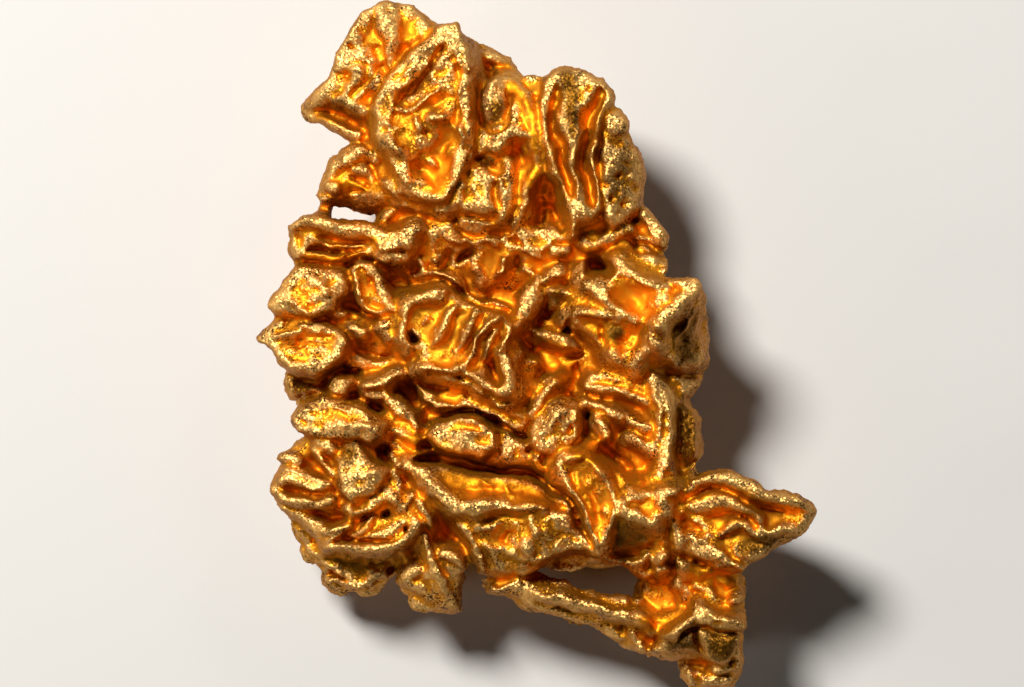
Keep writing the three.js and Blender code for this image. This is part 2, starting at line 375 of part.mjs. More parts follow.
// Underside: low lobes of the same habit, the lowest of them worn flat where the nugget rests.
function underside() {
  return {
    raised: [
      lobe([-7.4, 12.0, 2.6, 0.9], [-4.2, 12.6, 2.8, 0.9], [-5.8, 10.4, 0.55, 1.1], [-3.6, 9.6, 1.6, 1.1]),
      lobe([-2.8, 10.6, 2.2, 1.0], [0.4, 10.4, 2.4, 1.0], [-2.4, 7.6, 1.6, 1.2], [0.6, 7.4, 1.4, 1.1]),
      lobe([1.6, 9.6, 2.2, 1.0], [3.2, 7.6, 2.4, 0.9], [1.6, 6.6, 0.55, 1.1], [3.2, 4.8, 1.8, 1.0]),
      lobe([-7.6, 8.2, 3.0, 0.8], [-4.6, 7.6, 2.4, 1.0], [-4.8, 4.8, 1.8, 1.1]),
      lobe([-9.4, 3.2, 2.8, 0.9], [-6.0, 3.6, 2.0, 1.1], [-8.6, 0.8, 0.55, 1.1], [-5.9, 0.2, 1.4, 1.2]),
      lobe([-3.8, 4.6, 2.2, 1.1], [0.6, 4.2, 2.0, 1.2], [-3.6, 1.6, 1.2, 1.1], [0.2, 1.0, 1.5, 1.2]),
      lobe([2.6, 3.0, 2.4, 1.1], [5.8, 1.4, 2.8, 1.0], [2.8, -0.8, 1.6, 1.2], [5.4, -2.4, 0.6, 1.2]),
      lobe([-9.6, -1.8, 2.8, 0.9], [-5.4, -1.6, 2.0, 1.2], [-8.4, -4.0, 2.0, 1.0], [-4.6, -4.2, 1.6, 1.1]),
      lobe([-2.4, -1.4, 2.0, 1.2], [1.2, -2.2, 1.6, 1.2], [-2.2, -4.8, 1.8, 1.2], [1.4, -5.4, 1.4, 1.1]),
      lobe([-9.0, -6.2, 2.2, 1.1], [-4.4, -6.2, 2.0, 1.2], [-7.4, -7.6, 0.55, 1.1], [-5.4, -8.2, 1.4, 1.0]),
      lobe([-3.0, -7.0, 2.6, 1.0], [1.6, -7.6, 2.4, 1.0], [-0.8, -9.2, 2.8, 0.8]),
      lobe([3.8, -4.6, 2.0, 1.2], [6.2, -5.8, 2.6, 1.0], [5.0, -8.4, 1.8, 1.1], [7.4, -8.8, 2.4, 1.0]),
      lobe([6.0, -10.2, 1.8, 1.2], [7.8, -10.6, 2.9, 0.9], [6.5, -12.3, 0.5, 1.0], [7.7, -12.6, 2.9, 0.9]),
    ],
    hollows: [],
  };
}

// ---------------------------------------------------------------- joining

const regions = [
  sheet(), crown(), triangleHopper(), curledRibs(), fins(), rightShoulder(), leftArm(), leftBlocks(),
  middle(), eyeletAndColumn(), lowerLeft(), lowerSheet(), wingAndFoot(), underside(),
];
const joinAll = (solids) => solids.reduce((whole, next) => whole.add(next));
const raised = joinAll(regions.flatMap((region) => region.raised.flat()));
const hollows = joinAll(regions.flatMap((region) => region.hollows.flat()));

// The lowest lobes are worn to one plane, and small sealed pores are left out.
const belowFloor = new THREE.BoxGeometry(3 * nuggetLength, 3 * nuggetLength, floorDepth);
belowFloor.translate(0, 0, -floorDepth / 2);
const worn = raised.subtract(hollows).subtract(solidOf(belowFloor));
const body = worn.decompose().reduce((best, next) => (next.volume() > best.volume() ? next : best));

// Closes up an edge by drawing both its ends to its middle, unless that would tear the skin or fold it.
function closeEdge(from, to, points, faces, around) {
  const middle = points[from].clone().add(points[to]).multiplyScalar(0.5);
  const touching = (vertex) => new Set([...around[vertex]].flatMap((face) => faces[face]));
  const shared = [...touching(from)].filter((v) => v !== from && v !== to && touching(to).has(v));
  const lost = [...around[from]].filter((face) => around[to].has(face));
  if (shared.length !== 2 || lost.length !== 2) return false;
  const kept = [...around[from], ...around[to]].filter((face) => !lost.includes(face));
  const folds = kept.some((face) => {
    const before = faces[face].map((v) => points[v]);
    const after = faces[face].map((v) => (v === from || v === to ? middle : points[v]));
    const was = new THREE.Triangle(...before).getNormal(new THREE.Vector3());
    return was.dot(new THREE.Triangle(...after).getNormal(new THREE.Vector3())) < 0.3
      && new THREE.Triangle(...before).getArea() > 1e-4;
  });
  if (folds) return false;
  points[from] = middle;
  lost.forEach((face) => {
    faces[face].forEach((v) => around[v].delete(face));
    faces[face] = null;
  });
  around[to].forEach((face) => {
    faces[face] = faces[face].map((v) => (v === to ? from : v));
    around[from].add(face);
  });
  around[to].clear();
  return true;
}

// The solid's skin as a geometry, with its shortest edges closed up step by step.
function geometryOf(solid) {
  const mesh = solid.getMesh();
  const at = (i) => new THREE.Vector3().fromArray(mesh.vertProperties, i * mesh.numProp);
  const points = Array.from({ length: mesh.vertProperties.length / mesh.numProp }, (_, i) => at(i));
  const faces = [];
  for (let i = 0; i < mesh.triVerts.length; i += 3) faces.push([...mesh.triVerts.slice(i, i + 3)]);
  const around = points.map(() => new Set());
  faces.forEach((face, i) => face.forEach((v) => around[v].add(i)));
  for (let step = 1; step <= closingSteps; step += 1) {
    const limit = shortestEdge * (step / closingSteps) ** 2;
    for (let i = 0; i < faces.length; i += 1) {
      for (let side = 0; side < 3 && faces[i]; side += 1) {
        const from = faces[i][side];
        const to = faces[i][(side + 1) % 3];
        const onFloor = points[from].z < 1e-4 || points[to].z < 1e-4;
        if (!onFloor && points[from].distanceTo(points[to]) < limit) closeEdge(from, to, points, faces, around);
      }
    }
  }
  const kept = faces.filter((face) => face).flat();
  const geometry = new THREE.BufferGeometry();
  const corners = new Float32Array(kept.flatMap((v) => points[v].toArray()));
  geometry.setAttribute('position', new THREE.BufferAttribute(corners, 3));
  return mergeVertices(geometry, 1e-6);
}

// The origin is under the middle of the outline, on the resting plane.
const geometry = geometryOf(body);
geometry.scale(scale, scale, scale);
geometry.computeBoundingBox();
const middleOf = geometry.boundingBox.getCenter(new THREE.Vector3());
geometry.translate(-middleOf.x, -middleOf.y, 0);
geometry.computeVertexNormals();

const gold = new THREE.MeshStandardMaterial({ color: goldColour, roughness: 0.34, metalness: 1.0 });
const nugget = new THREE.Mesh(geometry, gold);
nugget.name = 'nugget';

const group = new THREE.Group();
group.add(nugget);

export default group;
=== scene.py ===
import math
import bmesh
import bpy
import numpy as np
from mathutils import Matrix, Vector


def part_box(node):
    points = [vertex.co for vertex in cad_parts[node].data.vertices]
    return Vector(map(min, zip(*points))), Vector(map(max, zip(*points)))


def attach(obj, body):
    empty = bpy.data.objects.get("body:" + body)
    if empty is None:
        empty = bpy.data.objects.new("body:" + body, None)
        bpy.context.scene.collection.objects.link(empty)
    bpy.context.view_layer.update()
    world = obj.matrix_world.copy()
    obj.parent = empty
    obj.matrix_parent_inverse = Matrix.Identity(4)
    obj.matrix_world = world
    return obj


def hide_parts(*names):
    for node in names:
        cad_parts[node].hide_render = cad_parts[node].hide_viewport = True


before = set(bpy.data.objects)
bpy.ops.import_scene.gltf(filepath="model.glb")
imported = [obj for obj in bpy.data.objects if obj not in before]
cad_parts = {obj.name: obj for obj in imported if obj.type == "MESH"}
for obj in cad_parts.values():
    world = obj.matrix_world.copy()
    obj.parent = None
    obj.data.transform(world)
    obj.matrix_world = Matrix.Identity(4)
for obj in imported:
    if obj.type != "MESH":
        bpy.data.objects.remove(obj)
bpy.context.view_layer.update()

millimetre = 0.001   # the nugget is modelled in millimetres and brought to metres at the end
print("frame loaded")


# ---- the nugget's forms, in millimetres: x to the wing, y to the crown, z up
# plates: flat or dished bodies with an outline; bars: paths of (x, y, half width, crest height)
# sinks, ridges, cracks and pits: strokes of (x, y, half width, depth or rise) worked into the surface
# rows: lines of small crystal points, as (start, end, count, radius, rise)

strength = {   # how strongly each setting or kind of stroke is taken
    "tilt": 1.7,
    "bowl": 0.7,
    "wall": 1.5,
    "sinks": 0.75,
    "ridges": 0.9,
    "cracks": 1.2,
}


def plate(outline, level, tilt=(0.0, 0.0), edge=0.3, rim=0.35, bowl=0.0, reach=0.5, wall=4.0):
    slope = (tilt[0] * strength["tilt"], tilt[1] * strength["tilt"])
    return {"outline": outline, "level": level, "tilt": slope, "edge": edge, "rim": rim,
            "bowl": bowl * strength["bowl"], "reach": reach, "wall": wall * strength["wall"]}


ground = {   # the low mass that everything stands on
    "plates": [
        plate([(-8.6, 12.5), (-7.2, 14.0), (-5.0, 13.6), (-3.4, 13.2), (-1.6, 12.4), (0.0, 11.2),
               (2.6, 11.4), (3.4, 9.6), (4.3, 8.0), (4.5, 6.4), (5.2, 4.4), (5.2, 3.2), (6.6, 2.6),
               (7.2, 1.0), (7.0, -0.8), (6.4, -2.2), (6.9, -3.6), (6.4, -5.4), (6.6, -6.4), (8.0, -6.0),
               (11.0, -7.2), (9.4, -8.8), (8.8, -10.4), (8.7, -13.0), (8.4, -14.3), (6.8, -14.2),
               (5.6, -13.2), (4.6, -12.4), (5.4, -11.2), (4.6, -9.6), (2.6, -9.2), (0.6, -9.2),
               (-0.2, -9.4), (-1.4, -10.0), (-2.2, -9.0), (-3.4, -8.6), (-4.4, -8.9), (-5.6, -9.0),
               (-7.0, -9.8), (-8.6, -9.6), (-10.0, -8.2), (-10.9, -6.4), (-10.0, -4.6), (-9.8, -3.4),
               (-10.2, -1.8), (-11.0, -0.4), (-11.4, 0.4), (-10.8, 1.2), (-11.0, 2.0), (-10.0, 3.2),
               (-10.0, 4.6), (-7.0, 4.9), (-6.6, 5.6), (-6.6, 6.4), (-8.6, 6.8), (-8.4, 8.2), (-7.6, 9.0),
               (-9.2, 10.0), (-9.4, 10.6)], 5.2, edge=0.8, wall=2.0),
    ],
}

crown = {   # the blunt lobe at the top end and the spur at its side
    "plates": [
        plate([(-8.3, 12.8), (-7.45, 14.05), (-6.85, 14.85), (-6.2, 15.05), (-5.6, 14.8), (-5.0, 14.45),
               (-4.3, 13.9), (-5.0, 12.9), (-6.2, 11.7), (-7.0, 10.7), (-7.3, 9.9), (-8.0, 10.4),
               (-9.0, 11.2), (-8.8, 12.0)], 7.7, (0.08, -0.08), edge=0.7, wall=1.8),
        plate([(-10.35, 10.3), (-9.4, 11.0), (-8.7, 11.5), (-7.4, 10.6), (-7.1, 9.6), (-7.7, 9.1),
               (-8.8, 9.35), (-9.8, 9.9)], 6.7, (0.14, 0.0), edge=0.4, rim=0.4, bowl=0.7, reach=0.5),
    ],
    "bars": [
        [(-10.1, 10.3, 0.32, 6.3), (-9.3, 10.8, 0.5, 7.0), (-8.7, 11.6, 0.42, 7.4), (-8.2, 12.6, 0.36, 7.7),
         (-7.5, 13.6, 0.4, 7.9), (-7.05, 14.3, 0.4, 7.8)],
        [(-6.6, 14.6, 0.5, 7.8), (-6.4, 13.8, 0.55, 8.1), (-6.2, 13.0, 0.45, 8.1), (-6.1, 12.2, 0.36, 8.0)],
        [(-5.1, 14.0, 0.4, 7.8), (-4.9, 13.6, 0.42, 8.0)],
        [(-5.7, 14.6, 0.36, 7.6), (-5.5, 14.2, 0.3, 7.7)],
        [(-7.8, 12.6, 0.4, 7.9), (-7.3, 12.6, 0.45, 8.0), (-7.1, 12.1, 0.3, 7.9)],
        [(-7.8, 11.7, 0.42, 8.0), (-7.9, 11.2, 0.25, 7.9), (-8.4, 10.8, 0.3, 7.6)],
        [(-6.9, 11.6, 0.4, 8.1), (-6.9, 11.3, 0.36, 8.1)],
        [(-8.2, 10.7, 0.25, 7.6), (-7.7, 10.45, 0.25, 7.7), (-7.35, 10.2, 0.25, 7.7)],
        [(-9.9, 10.0, 0.26, 6.3), (-9.0, 9.65, 0.22, 6.8), (-8.3, 9.3, 0.2, 7.0), (-7.6, 9.1, 0.22, 7.1)],
        [(-7.5, 9.0, 0.3, 6.8), (-7.3, 8.6, 0.25, 6.8)],
    ],
    "sinks": [
        [(-9.0, 10.0, 0.25, 0.3), (-8.3, 9.75, 0.3, 0.6), (-7.7, 9.6, 0.32, 0.9)],
        [(-8.6, 10.5, 0.3, 0.3), (-8.1, 10.2, 0.25, 0.3)],
        [(-6.9, 14.6, 0.12, 0.25), (-6.95, 13.9, 0.15, 0.35), (-6.65, 13.1, 0.15, 0.35),
         (-6.6, 12.5, 0.14, 0.35)],
        [(-5.75, 13.9, 0.3, 0.15), (-5.55, 13.5, 0.36, 0.28)],
        [(-6.5, 12.15, 0.2, 0.6), (-7.1, 11.6, 0.18, 0.6), (-7.7, 10.95, 0.32, 0.5)],
        [(-5.6, 12.8, 0.36, 0.3), (-5.9, 12.4, 0.2, 0.3)],
    ],
    "ridges": [
        [(-7.9, 13.5, 0.5, 0.35), (-7.4, 13.2, 0.5, 0.4)],
        [(-8.4, 12.2, 0.4, 0.3), (-7.6, 12.0, 0.4, 0.35)],
    ],
    "pits": [
        (-7.9, 12.98, 0.2, 0.5), (-6.9, 12.9, 0.18, 0.5), (-8.25, 11.65, 0.2, 0.6), (-7.4, 12.2, 0.2, 0.3),
        (-8.4, 12.2, 0.25, 0.2),
    ],
}

triangleHopper = {   # the large three-sided hopper crystal, dished inside a raised rim
    "plates": [
        plate([(-4.1, 13.9), (-3.3, 13.85), (-3.0, 13.2), (-2.9, 12.4), (-2.75, 11.4), (-2.8, 10.5),
               (-2.65, 9.5), (-2.75, 8.9), (-2.9, 8.0), (-3.2, 7.4), (-3.7, 6.9), (-4.2, 6.3), (-4.9, 6.2),
               (-5.5, 6.9), (-6.1, 7.8), (-6.7, 8.6), (-7.0, 9.4), (-6.95, 10.2), (-6.6, 11.1),
               (-6.1, 11.9), (-5.3, 12.7), (-4.7, 13.4)], 8.9, (0.08, 0.0), edge=0.16, rim=0.6, bowl=0.22,
              reach=0.2, wall=3.0),
        plate([(-7.0, 9.2), (-6.4, 8.0), (-5.9, 7.4), (-6.7, 7.2), (-7.4, 8.0), (-7.4, 8.9)], 7.2,
              edge=0.3),
    ],
    "bars": [
        [(-6.5, 7.15, 0.2, 7.4), (-6.1, 7.0, 0.3, 7.7), (-5.7, 6.5, 0.25, 7.6), (-5.0, 5.98, 0.2, 7.4),
         (-4.4, 5.85, 0.22, 7.3)],
        [(-6.0, 7.8, 0.2, 8.0), (-5.6, 7.0, 0.18, 8.1), (-5.0, 6.4, 0.2, 8.1), (-4.3, 6.2, 0.22, 8.1)],
    ],
    "sinks": [
        [(-3.9, 9.0, 0.6, 0.5), (-4.2, 8.4, 1.1, 1.0), (-4.5, 7.7, 1.2, 1.2), (-4.6, 7.1, 0.9, 1.1)],
        [(-5.4, 8.3, 0.4, 0.3), (-5.0, 7.7, 0.5, 0.5)],
        [(-3.5, 13.0, 0.16, 0.4), (-3.45, 12.0, 0.2, 0.5), (-3.4, 10.8, 0.2, 0.5), (-3.35, 9.6, 0.2, 0.4)],
        [(-4.2, 12.0, 0.25, 0.2), (-4.8, 11.5, 0.3, 0.3), (-5.4, 11.0, 0.25, 0.25)],
        [(-4.0, 10.8, 0.3, 0.4), (-4.4, 10.4, 0.3, 0.4)], [(-5.8, 10.6, 0.4, 0.3), (-5.5, 10.1, 0.36, 0.3)],
        [(-3.4, 12.0, 0.3, 0.4), (-3.35, 11.6, 0.2, 0.2)],
    ],
    "ridges": [
        [(-4.5, 9.8, 0.4, 0.65), (-3.9, 9.95, 0.42, 0.7)],
        [(-6.2, 10.15, 0.22, 0.45), (-5.3, 10.25, 0.2, 0.5), (-4.8, 10.85, 0.18, 0.5),
         (-4.3, 11.2, 0.16, 0.45)],
        [(-6.4, 9.0, 0.45, 0.5), (-5.9, 8.6, 0.45, 0.55), (-5.5, 8.3, 0.3, 0.4)],
        [(-6.7, 9.6, 0.25, 0.4), (-6.2, 9.4, 0.25, 0.35)], [(-5.1, 9.9, 0.22, 0.5), (-5.0, 9.5, 0.25, 0.5)],
        [(-4.0, 12.5, 0.3, 0.25), (-4.3, 12.2, 0.3, 0.25)],
        [(-5.6, 11.3, 0.2, 0.25), (-5.8, 11.0, 0.2, 0.25)],
        [(-4.6, 11.8, 0.25, 0.3), (-4.5, 11.5, 0.2, 0.3)], [(-4.7, 8.0, 0.25, 0.5), (-4.5, 7.8, 0.25, 0.5)],
        [(-3.8, 8.5, 0.22, 0.4), (-3.9, 8.2, 0.22, 0.4)], [(-4.9, 7.1, 0.25, 0.4), (-4.6, 6.9, 0.22, 0.4)],
        [(-3.3, 9.4, 0.25, 0.4), (-3.2, 8.8, 0.25, 0.5)],
        [(-3.4, 11.3, 0.25, 0.5), (-3.3, 10.9, 0.22, 0.4)],
        [(-4.7, 12.8, 0.16, 0.25), (-5.2, 12.2, 0.14, 0.25), (-5.9, 11.4, 0.14, 0.2),
         (-6.6, 10.6, 0.14, 0.2)],
    ],
    "cracks": [
        [(-4.9, 12.55, 0.10, 0.4), (-5.5, 12.0, 0.10, 0.4), (-6.0, 11.5, 0.10, 0.3)],
        [(-3.95, 13.0, 0.14, 0.5), (-4.7, 12.0, 0.16, 0.6), (-5.4, 11.1, 0.16, 0.6),
         (-6.1, 10.2, 0.14, 0.5), (-6.3, 9.4, 0.12, 0.4)],
    ],
    "pits": [
        (-4.9, 12.3, 0.12, 0.3), (-5.4, 11.6, 0.12, 0.3), (-4.0, 11.5, 0.14, 0.35), (-3.7, 10.8, 0.14, 0.4),
        (-4.7, 11.1, 0.14, 0.4), (-5.9, 10.0, 0.16, 0.4), (-4.7, 9.3, 0.18, 0.4), (-3.6, 12.4, 0.12, 0.3),
        (-5.3, 9.6, 0.14, 0.4), (-3.1, 8.5, 0.22, 0.4), (-5.0, 8.4, 0.2, 0.5), (-3.3, 10.3, 0.12, 0.3),
        (-3.15, 12.2, 0.12, 0.25), (-4.1, 9.4, 0.12, 0.3), (-6.3, 9.7, 0.12, 0.3),
    ],
    "rows": [
        ((-6.95, 10.55), (-4.45, 13.25), 15, 0.13, 0.22), ((-6.2, 10.75), (-4.3, 12.7), 11, 0.12, 0.18),
        ((-2.98, 12.2), (-2.86, 8.4), 17, 0.11, 0.25), ((-6.5, 9.3), (-5.2, 8.0), 6, 0.15, 0.2),
        ((-3.5, 12.9), (-3.3, 11.9), 5, 0.12, 0.2),
    ],
}

backLobe = {   # the low lobe that shows between the hopper and the ribs
    "plates": [
        plate([(-3.2, 13.35), (-2.3, 13.15), (-1.6, 12.9), (-1.1, 12.5), (-0.85, 12.0), (-0.5, 11.5),
               (-1.2, 11.2), (-2.6, 11.6), (-3.2, 12.2)], 6.7, (0.0, -0.12), edge=0.5, rim=0.5, bowl=0.2,
              reach=0.4, wall=1.6),
        plate([(-2.9, 12.0), (-2.2, 12.0), (-2.1, 11.0), (-2.3, 9.6), (-2.9, 9.2)], 7.0, (0.2, 0.0),
              edge=0.3, wall=1.2),
    ],
    "bars": [[(-2.6, 11.6, 0.28, 7.3), (-2.3, 11.0, 0.2, 7.3)]],
    "sinks": [[(-2.3, 12.2, 0.3, 0.25), (-1.3, 12.1, 0.3, 0.35)]],
}

curledRibs = {   # thin ribs that curl down the slope beside the hopper
    "plates": [
        plate([(-2.1, 11.3), (-1.7, 11.6), (-1.2, 11.2), (-1.0, 10.5), (-1.05, 9.8), (-1.5, 9.3),
               (-2.1, 9.5), (-2.3, 10.2)], 8.1, (0.0, 0.10), edge=0.25),
        plate([(-1.0, 10.75), (-0.5, 10.2), (-0.25, 9.5), (-0.3, 9.1), (-1.0, 9.2), (-1.05, 9.9)], 8.5,
              (0.22, -0.15), edge=0.2),
        plate([(-2.75, 9.0), (-2.3, 9.5), (-1.7, 9.4), (-1.6, 9.0), (-2.0, 8.4), (-2.3, 8.1), (-2.8, 8.2)],
              8.3, (0.15, -0.1), edge=0.25),
        plate([(-1.6, 9.0), (-0.2, 9.2), (0.1, 8.3), (-0.5, 7.3), (-0.7, 6.0), (-1.3, 5.4), (-1.1, 6.6),
               (-1.5, 7.3), (-1.9, 8.2)], 7.8, (-0.12, 0.05), edge=0.2, rim=0.15, bowl=0.5, reach=0.5,
              wall=1.2),
        plate([(-2.35, 8.3), (-2.0, 8.3), (-1.7, 7.9), (-1.6, 7.3), (-1.9, 7.1), (-2.2, 7.6)], 8.1,
              (-0.45, 0.1), edge=0.12),
        plate([(-2.95, 8.6), (-2.4, 8.2), (-2.1, 7.4), (-1.6, 6.9), (-1.35, 6.3), (-1.5, 5.7), (-2.2, 5.65),
               (-3.1, 5.8), (-4.2, 5.9), (-4.1, 6.3), (-3.4, 7.1), (-3.0, 7.8)], 8.2, (0.05, -0.05),
              edge=0.25, rim=0.4, bowl=0.15, reach=0.3),
        plate([(-3.5, 5.9), (-2.0, 5.6), (-1.2, 5.5), (-0.9, 5.0), (-2.0, 4.8), (-3.2, 4.8), (-3.6, 5.2)],
              7.5, (0.0, 0.45), edge=0.2),
        plate([(-0.5, 7.2), (0.4, 8.0), (0.7, 7.0), (1.3, 6.2), (1.5, 5.0), (1.2, 4.6), (0.4, 4.4),
               (-0.6, 4.5), (-1.0, 5.2)], 7.3, (0.0, 0.0), edge=0.2, rim=0.2, bowl=1.0, reach=0.9,
              wall=2.0),
    ],
    "bars": [
        [(-1.3, 11.35, 0.26, 7.7), (-0.6, 10.95, 0.3, 8.1), (-0.15, 10.1, 0.32, 8.5),
         (0.05, 9.1, 0.32, 8.7), (0.15, 8.3, 0.3, 8.5), (0.2, 7.9, 0.2, 8.2)],
        [(-0.3, 11.45, 0.25, 7.5), (0.0, 11.3, 0.3, 7.6), (0.1, 10.9, 0.2, 7.9)],
        [(-0.3, 9.2, 0.2, 8.7), (-0.9, 9.25, 0.25, 8.8), (-1.4, 9.0, 0.26, 8.8), (-1.8, 8.5, 0.26, 8.7)],
        [(-1.25, 7.85, 0.22, 8.2), (-1.25, 7.3, 0.2, 8.2), (-1.2, 6.8, 0.16, 8.2), (-1.2, 6.2, 0.16, 8.1),
         (-1.3, 5.7, 0.16, 7.9)],
        [(-1.55, 6.95, 0.10, 8.35), (-1.38, 6.5, 0.10, 8.3), (-1.36, 6.0, 0.10, 8.2),
         (-1.6, 5.5, 0.12, 8.1)],
        [(0.45, 7.8, 0.25, 8.0), (0.0, 7.6, 0.3, 8.2), (-0.4, 7.15, 0.2, 8.2), (-0.5, 6.5, 0.13, 8.1),
         (-0.6, 5.9, 0.13, 7.9), (-1.0, 5.2, 0.15, 7.5)],
        [(-0.8, 4.85, 0.10, 7.1), (-0.45, 4.5, 0.11, 7.2), (0.1, 4.33, 0.11, 7.2), (0.6, 4.5, 0.10, 7.2)],
        [(-0.3, 4.8, 0.3, 7.1), (0.2, 4.8, 0.34, 7.1)],
        [(0.05, 6.8, 0.26, 7.1), (0.12, 6.7, 0.25, 7.1)],
        [(-4.3, 6.05, 0.25, 8.0), (-3.6, 6.4, 0.22, 8.3), (-3.2, 7.0, 0.2, 8.5)],
    ],
    "sinks": [
        [(-1.75, 6.75, 0.22, 0.6), (-1.65, 6.1, 0.26, 0.8), (-1.75, 5.75, 0.18, 0.5)],
        [(0.8, 6.6, 0.4, 0.6), (0.7, 5.7, 0.45, 0.8), (1.0, 5.0, 0.3, 0.5)],
        [(0.2, 5.9, 0.35, 0.4), (0.1, 5.4, 0.3, 0.4)], [(-3.9, 6.1, 0.25, 0.2), (-3.4, 5.9, 0.2, 0.3)],
        [(-0.8, 8.6, 0.4, 0.3), (-0.7, 8.0, 0.35, 0.4)],
    ],
    "cracks": [
        [(-2.85, 8.9, 0.12, 0.5), (-3.0, 8.0, 0.12, 0.5), (-3.2, 7.4, 0.12, 0.4)],
        [(-2.2, 9.45, 0.1, 0.4), (-1.5, 9.2, 0.12, 0.6), (-1.05, 9.7, 0.1, 0.3)],
    ],
    "pits": [
        (-3.0, 6.5, 0.1, 0.3), (-3.5, 5.9, 0.14, 0.4), (0.1, 5.1, 0.14, 0.5), (1.2, 5.2, 0.2, 0.5),
        (-1.75, 6.5, 0.08, 0.2), (-3.1, 5.2, 0.2, 0.2),
    ],
    "rows": [
        ((-2.7, 7.6), (-2.2, 5.9), 9, 0.12, 0.12), ((-2.8, 8.2), (-2.6, 6.3), 8, 0.12, 0.12),
        ((-3.0, 5.35), (-1.2, 5.25), 9, 0.13, 0.2),
    ],
}

twinFin = {   # the tall fin with two deep channels
    "plates": [
        plate([(0.3, 11.35), (0.7, 11.8), (1.2, 11.9), (2.3, 11.9), (2.9, 11.6), (3.25, 11.0), (3.3, 10.3),
               (3.0, 9.7), (2.7, 9.2), (2.7, 7.0), (2.7, 6.0), (2.3, 5.6), (1.7, 5.4), (1.5, 4.9),
               (1.3, 5.8), (1.0, 6.8), (0.6, 7.4), (0.5, 8.1), (0.3, 9.2), (0.25, 10.3)], 8.9, (0.0, -0.02),
              edge=0.28, wall=3.0),
    ],
    "bars": [[(1.7, 5.65, 0.2, 7.9), (2.2, 5.85, 0.22, 8.2), (2.65, 6.0, 0.15, 8.2)]],
    "sinks": [
        [(0.98, 10.9, 0.28, 0.7), (0.92, 9.6, 0.36, 1.2), (1.1, 8.7, 0.40, 1.3), (1.33, 7.6, 0.38, 1.4),
         (1.42, 6.7, 0.3, 1.1)],
        [(2.75, 11.0, 0.3, 0.7), (2.4, 10.35, 0.42, 1.1), (2.22, 9.6, 0.44, 1.2), (2.2, 8.6, 0.48, 1.4),
         (2.25, 7.4, 0.48, 1.5), (2.3, 6.4, 0.42, 1.3)],
    ],
    "ridges": [
        [(0.42, 10.6, 0.2, 0.2), (0.5, 9.4, 0.18, 0.25), (0.8, 8.3, 0.2, 0.25), (1.05, 7.5, 0.15, 0.2)],
        [(2.05, 9.5, 0.18, 0.5), (2.0, 9.2, 0.2, 0.5)], [(1.6, 10.6, 0.3, 0.15), (1.55, 9.4, 0.2, 0.2)],
        [(2.4, 11.5, 0.4, 0.15), (2.8, 11.2, 0.2, 0.15)],
        [(2.65, 9.4, 0.14, 0.2), (2.62, 8.0, 0.12, 0.2), (2.65, 6.6, 0.12, 0.2)],
    ],
    "pits": [
        (2.25, 11.15, 0.17, 0.4), (0.9, 11.25, 0.1, 0.25), (1.25, 11.1, 0.08, 0.2), (1.15, 8.4, 0.1, 0.1),
        (1.3, 6.4, 0.14, 0.4),
    ],
    "rows": [
        ((1.75, 10.2), (1.75, 6.4), 18, 0.10, 0.22), ((2.75, 10.5), (2.45, 9.0), 8, 0.10, 0.25),
        ((2.0, 10.9), (2.5, 10.9), 3, 0.1, 0.2),
    ],
}

pittedFin = {   # the round fin beside it, pitted and turned away from the light
    "plates": [
        plate([(2.75, 9.3), (3.2, 9.3), (3.9, 8.9), (4.3, 8.5), (4.65, 7.8), (4.8, 6.9), (4.7, 6.0),
               (4.4, 5.6), (3.8, 5.2), (3.3, 5.0), (2.9, 5.6), (2.75, 6.4), (2.7, 7.5)], 7.9, (-0.40, 0.0),
              edge=0.3, wall=2.6),
    ],
    "bars": [
        [(3.42, 9.85, 0.52, 8.7), (3.46, 9.55, 0.5, 8.6)],
        [(3.1, 9.2, 0.3, 8.3), (3.7, 8.9, 0.3, 7.9)],
    ],
    "ridges": [
        [(4.1, 7.3, 0.25, 0.3), (4.5, 7.2, 0.2, 0.3)],
        [(3.9, 6.7, 0.2, 0.2), (4.4, 6.5, 0.3, 0.25), (4.3, 6.1, 0.2, 0.2)],
    ],
    "pits": [
        (3.7, 7.9, 0.22, 0.5), (3.5, 7.2, 0.22, 0.55), (4.0, 6.8, 0.12, 0.4), (3.3, 6.3, 0.22, 0.55),
        (3.9, 7.6, 0.16, 0.4), (3.7, 8.3, 0.16, 0.35), (3.9, 6.1, 0.2, 0.5), (3.2, 7.8, 0.14, 0.3),
        (4.2, 7.9, 0.16, 0.4), (3.1, 6.9, 0.16, 0.4), (3.7, 6.6, 0.14, 0.4), (4.4, 6.8, 0.14, 0.35),
        (3.5, 8.7, 0.12, 0.3), (3.6, 5.7, 0.18, 0.25), (2.85, 5.9, 0.16, 0.5), (4.3, 6.85, 0.1, 0.25),
    ],
}

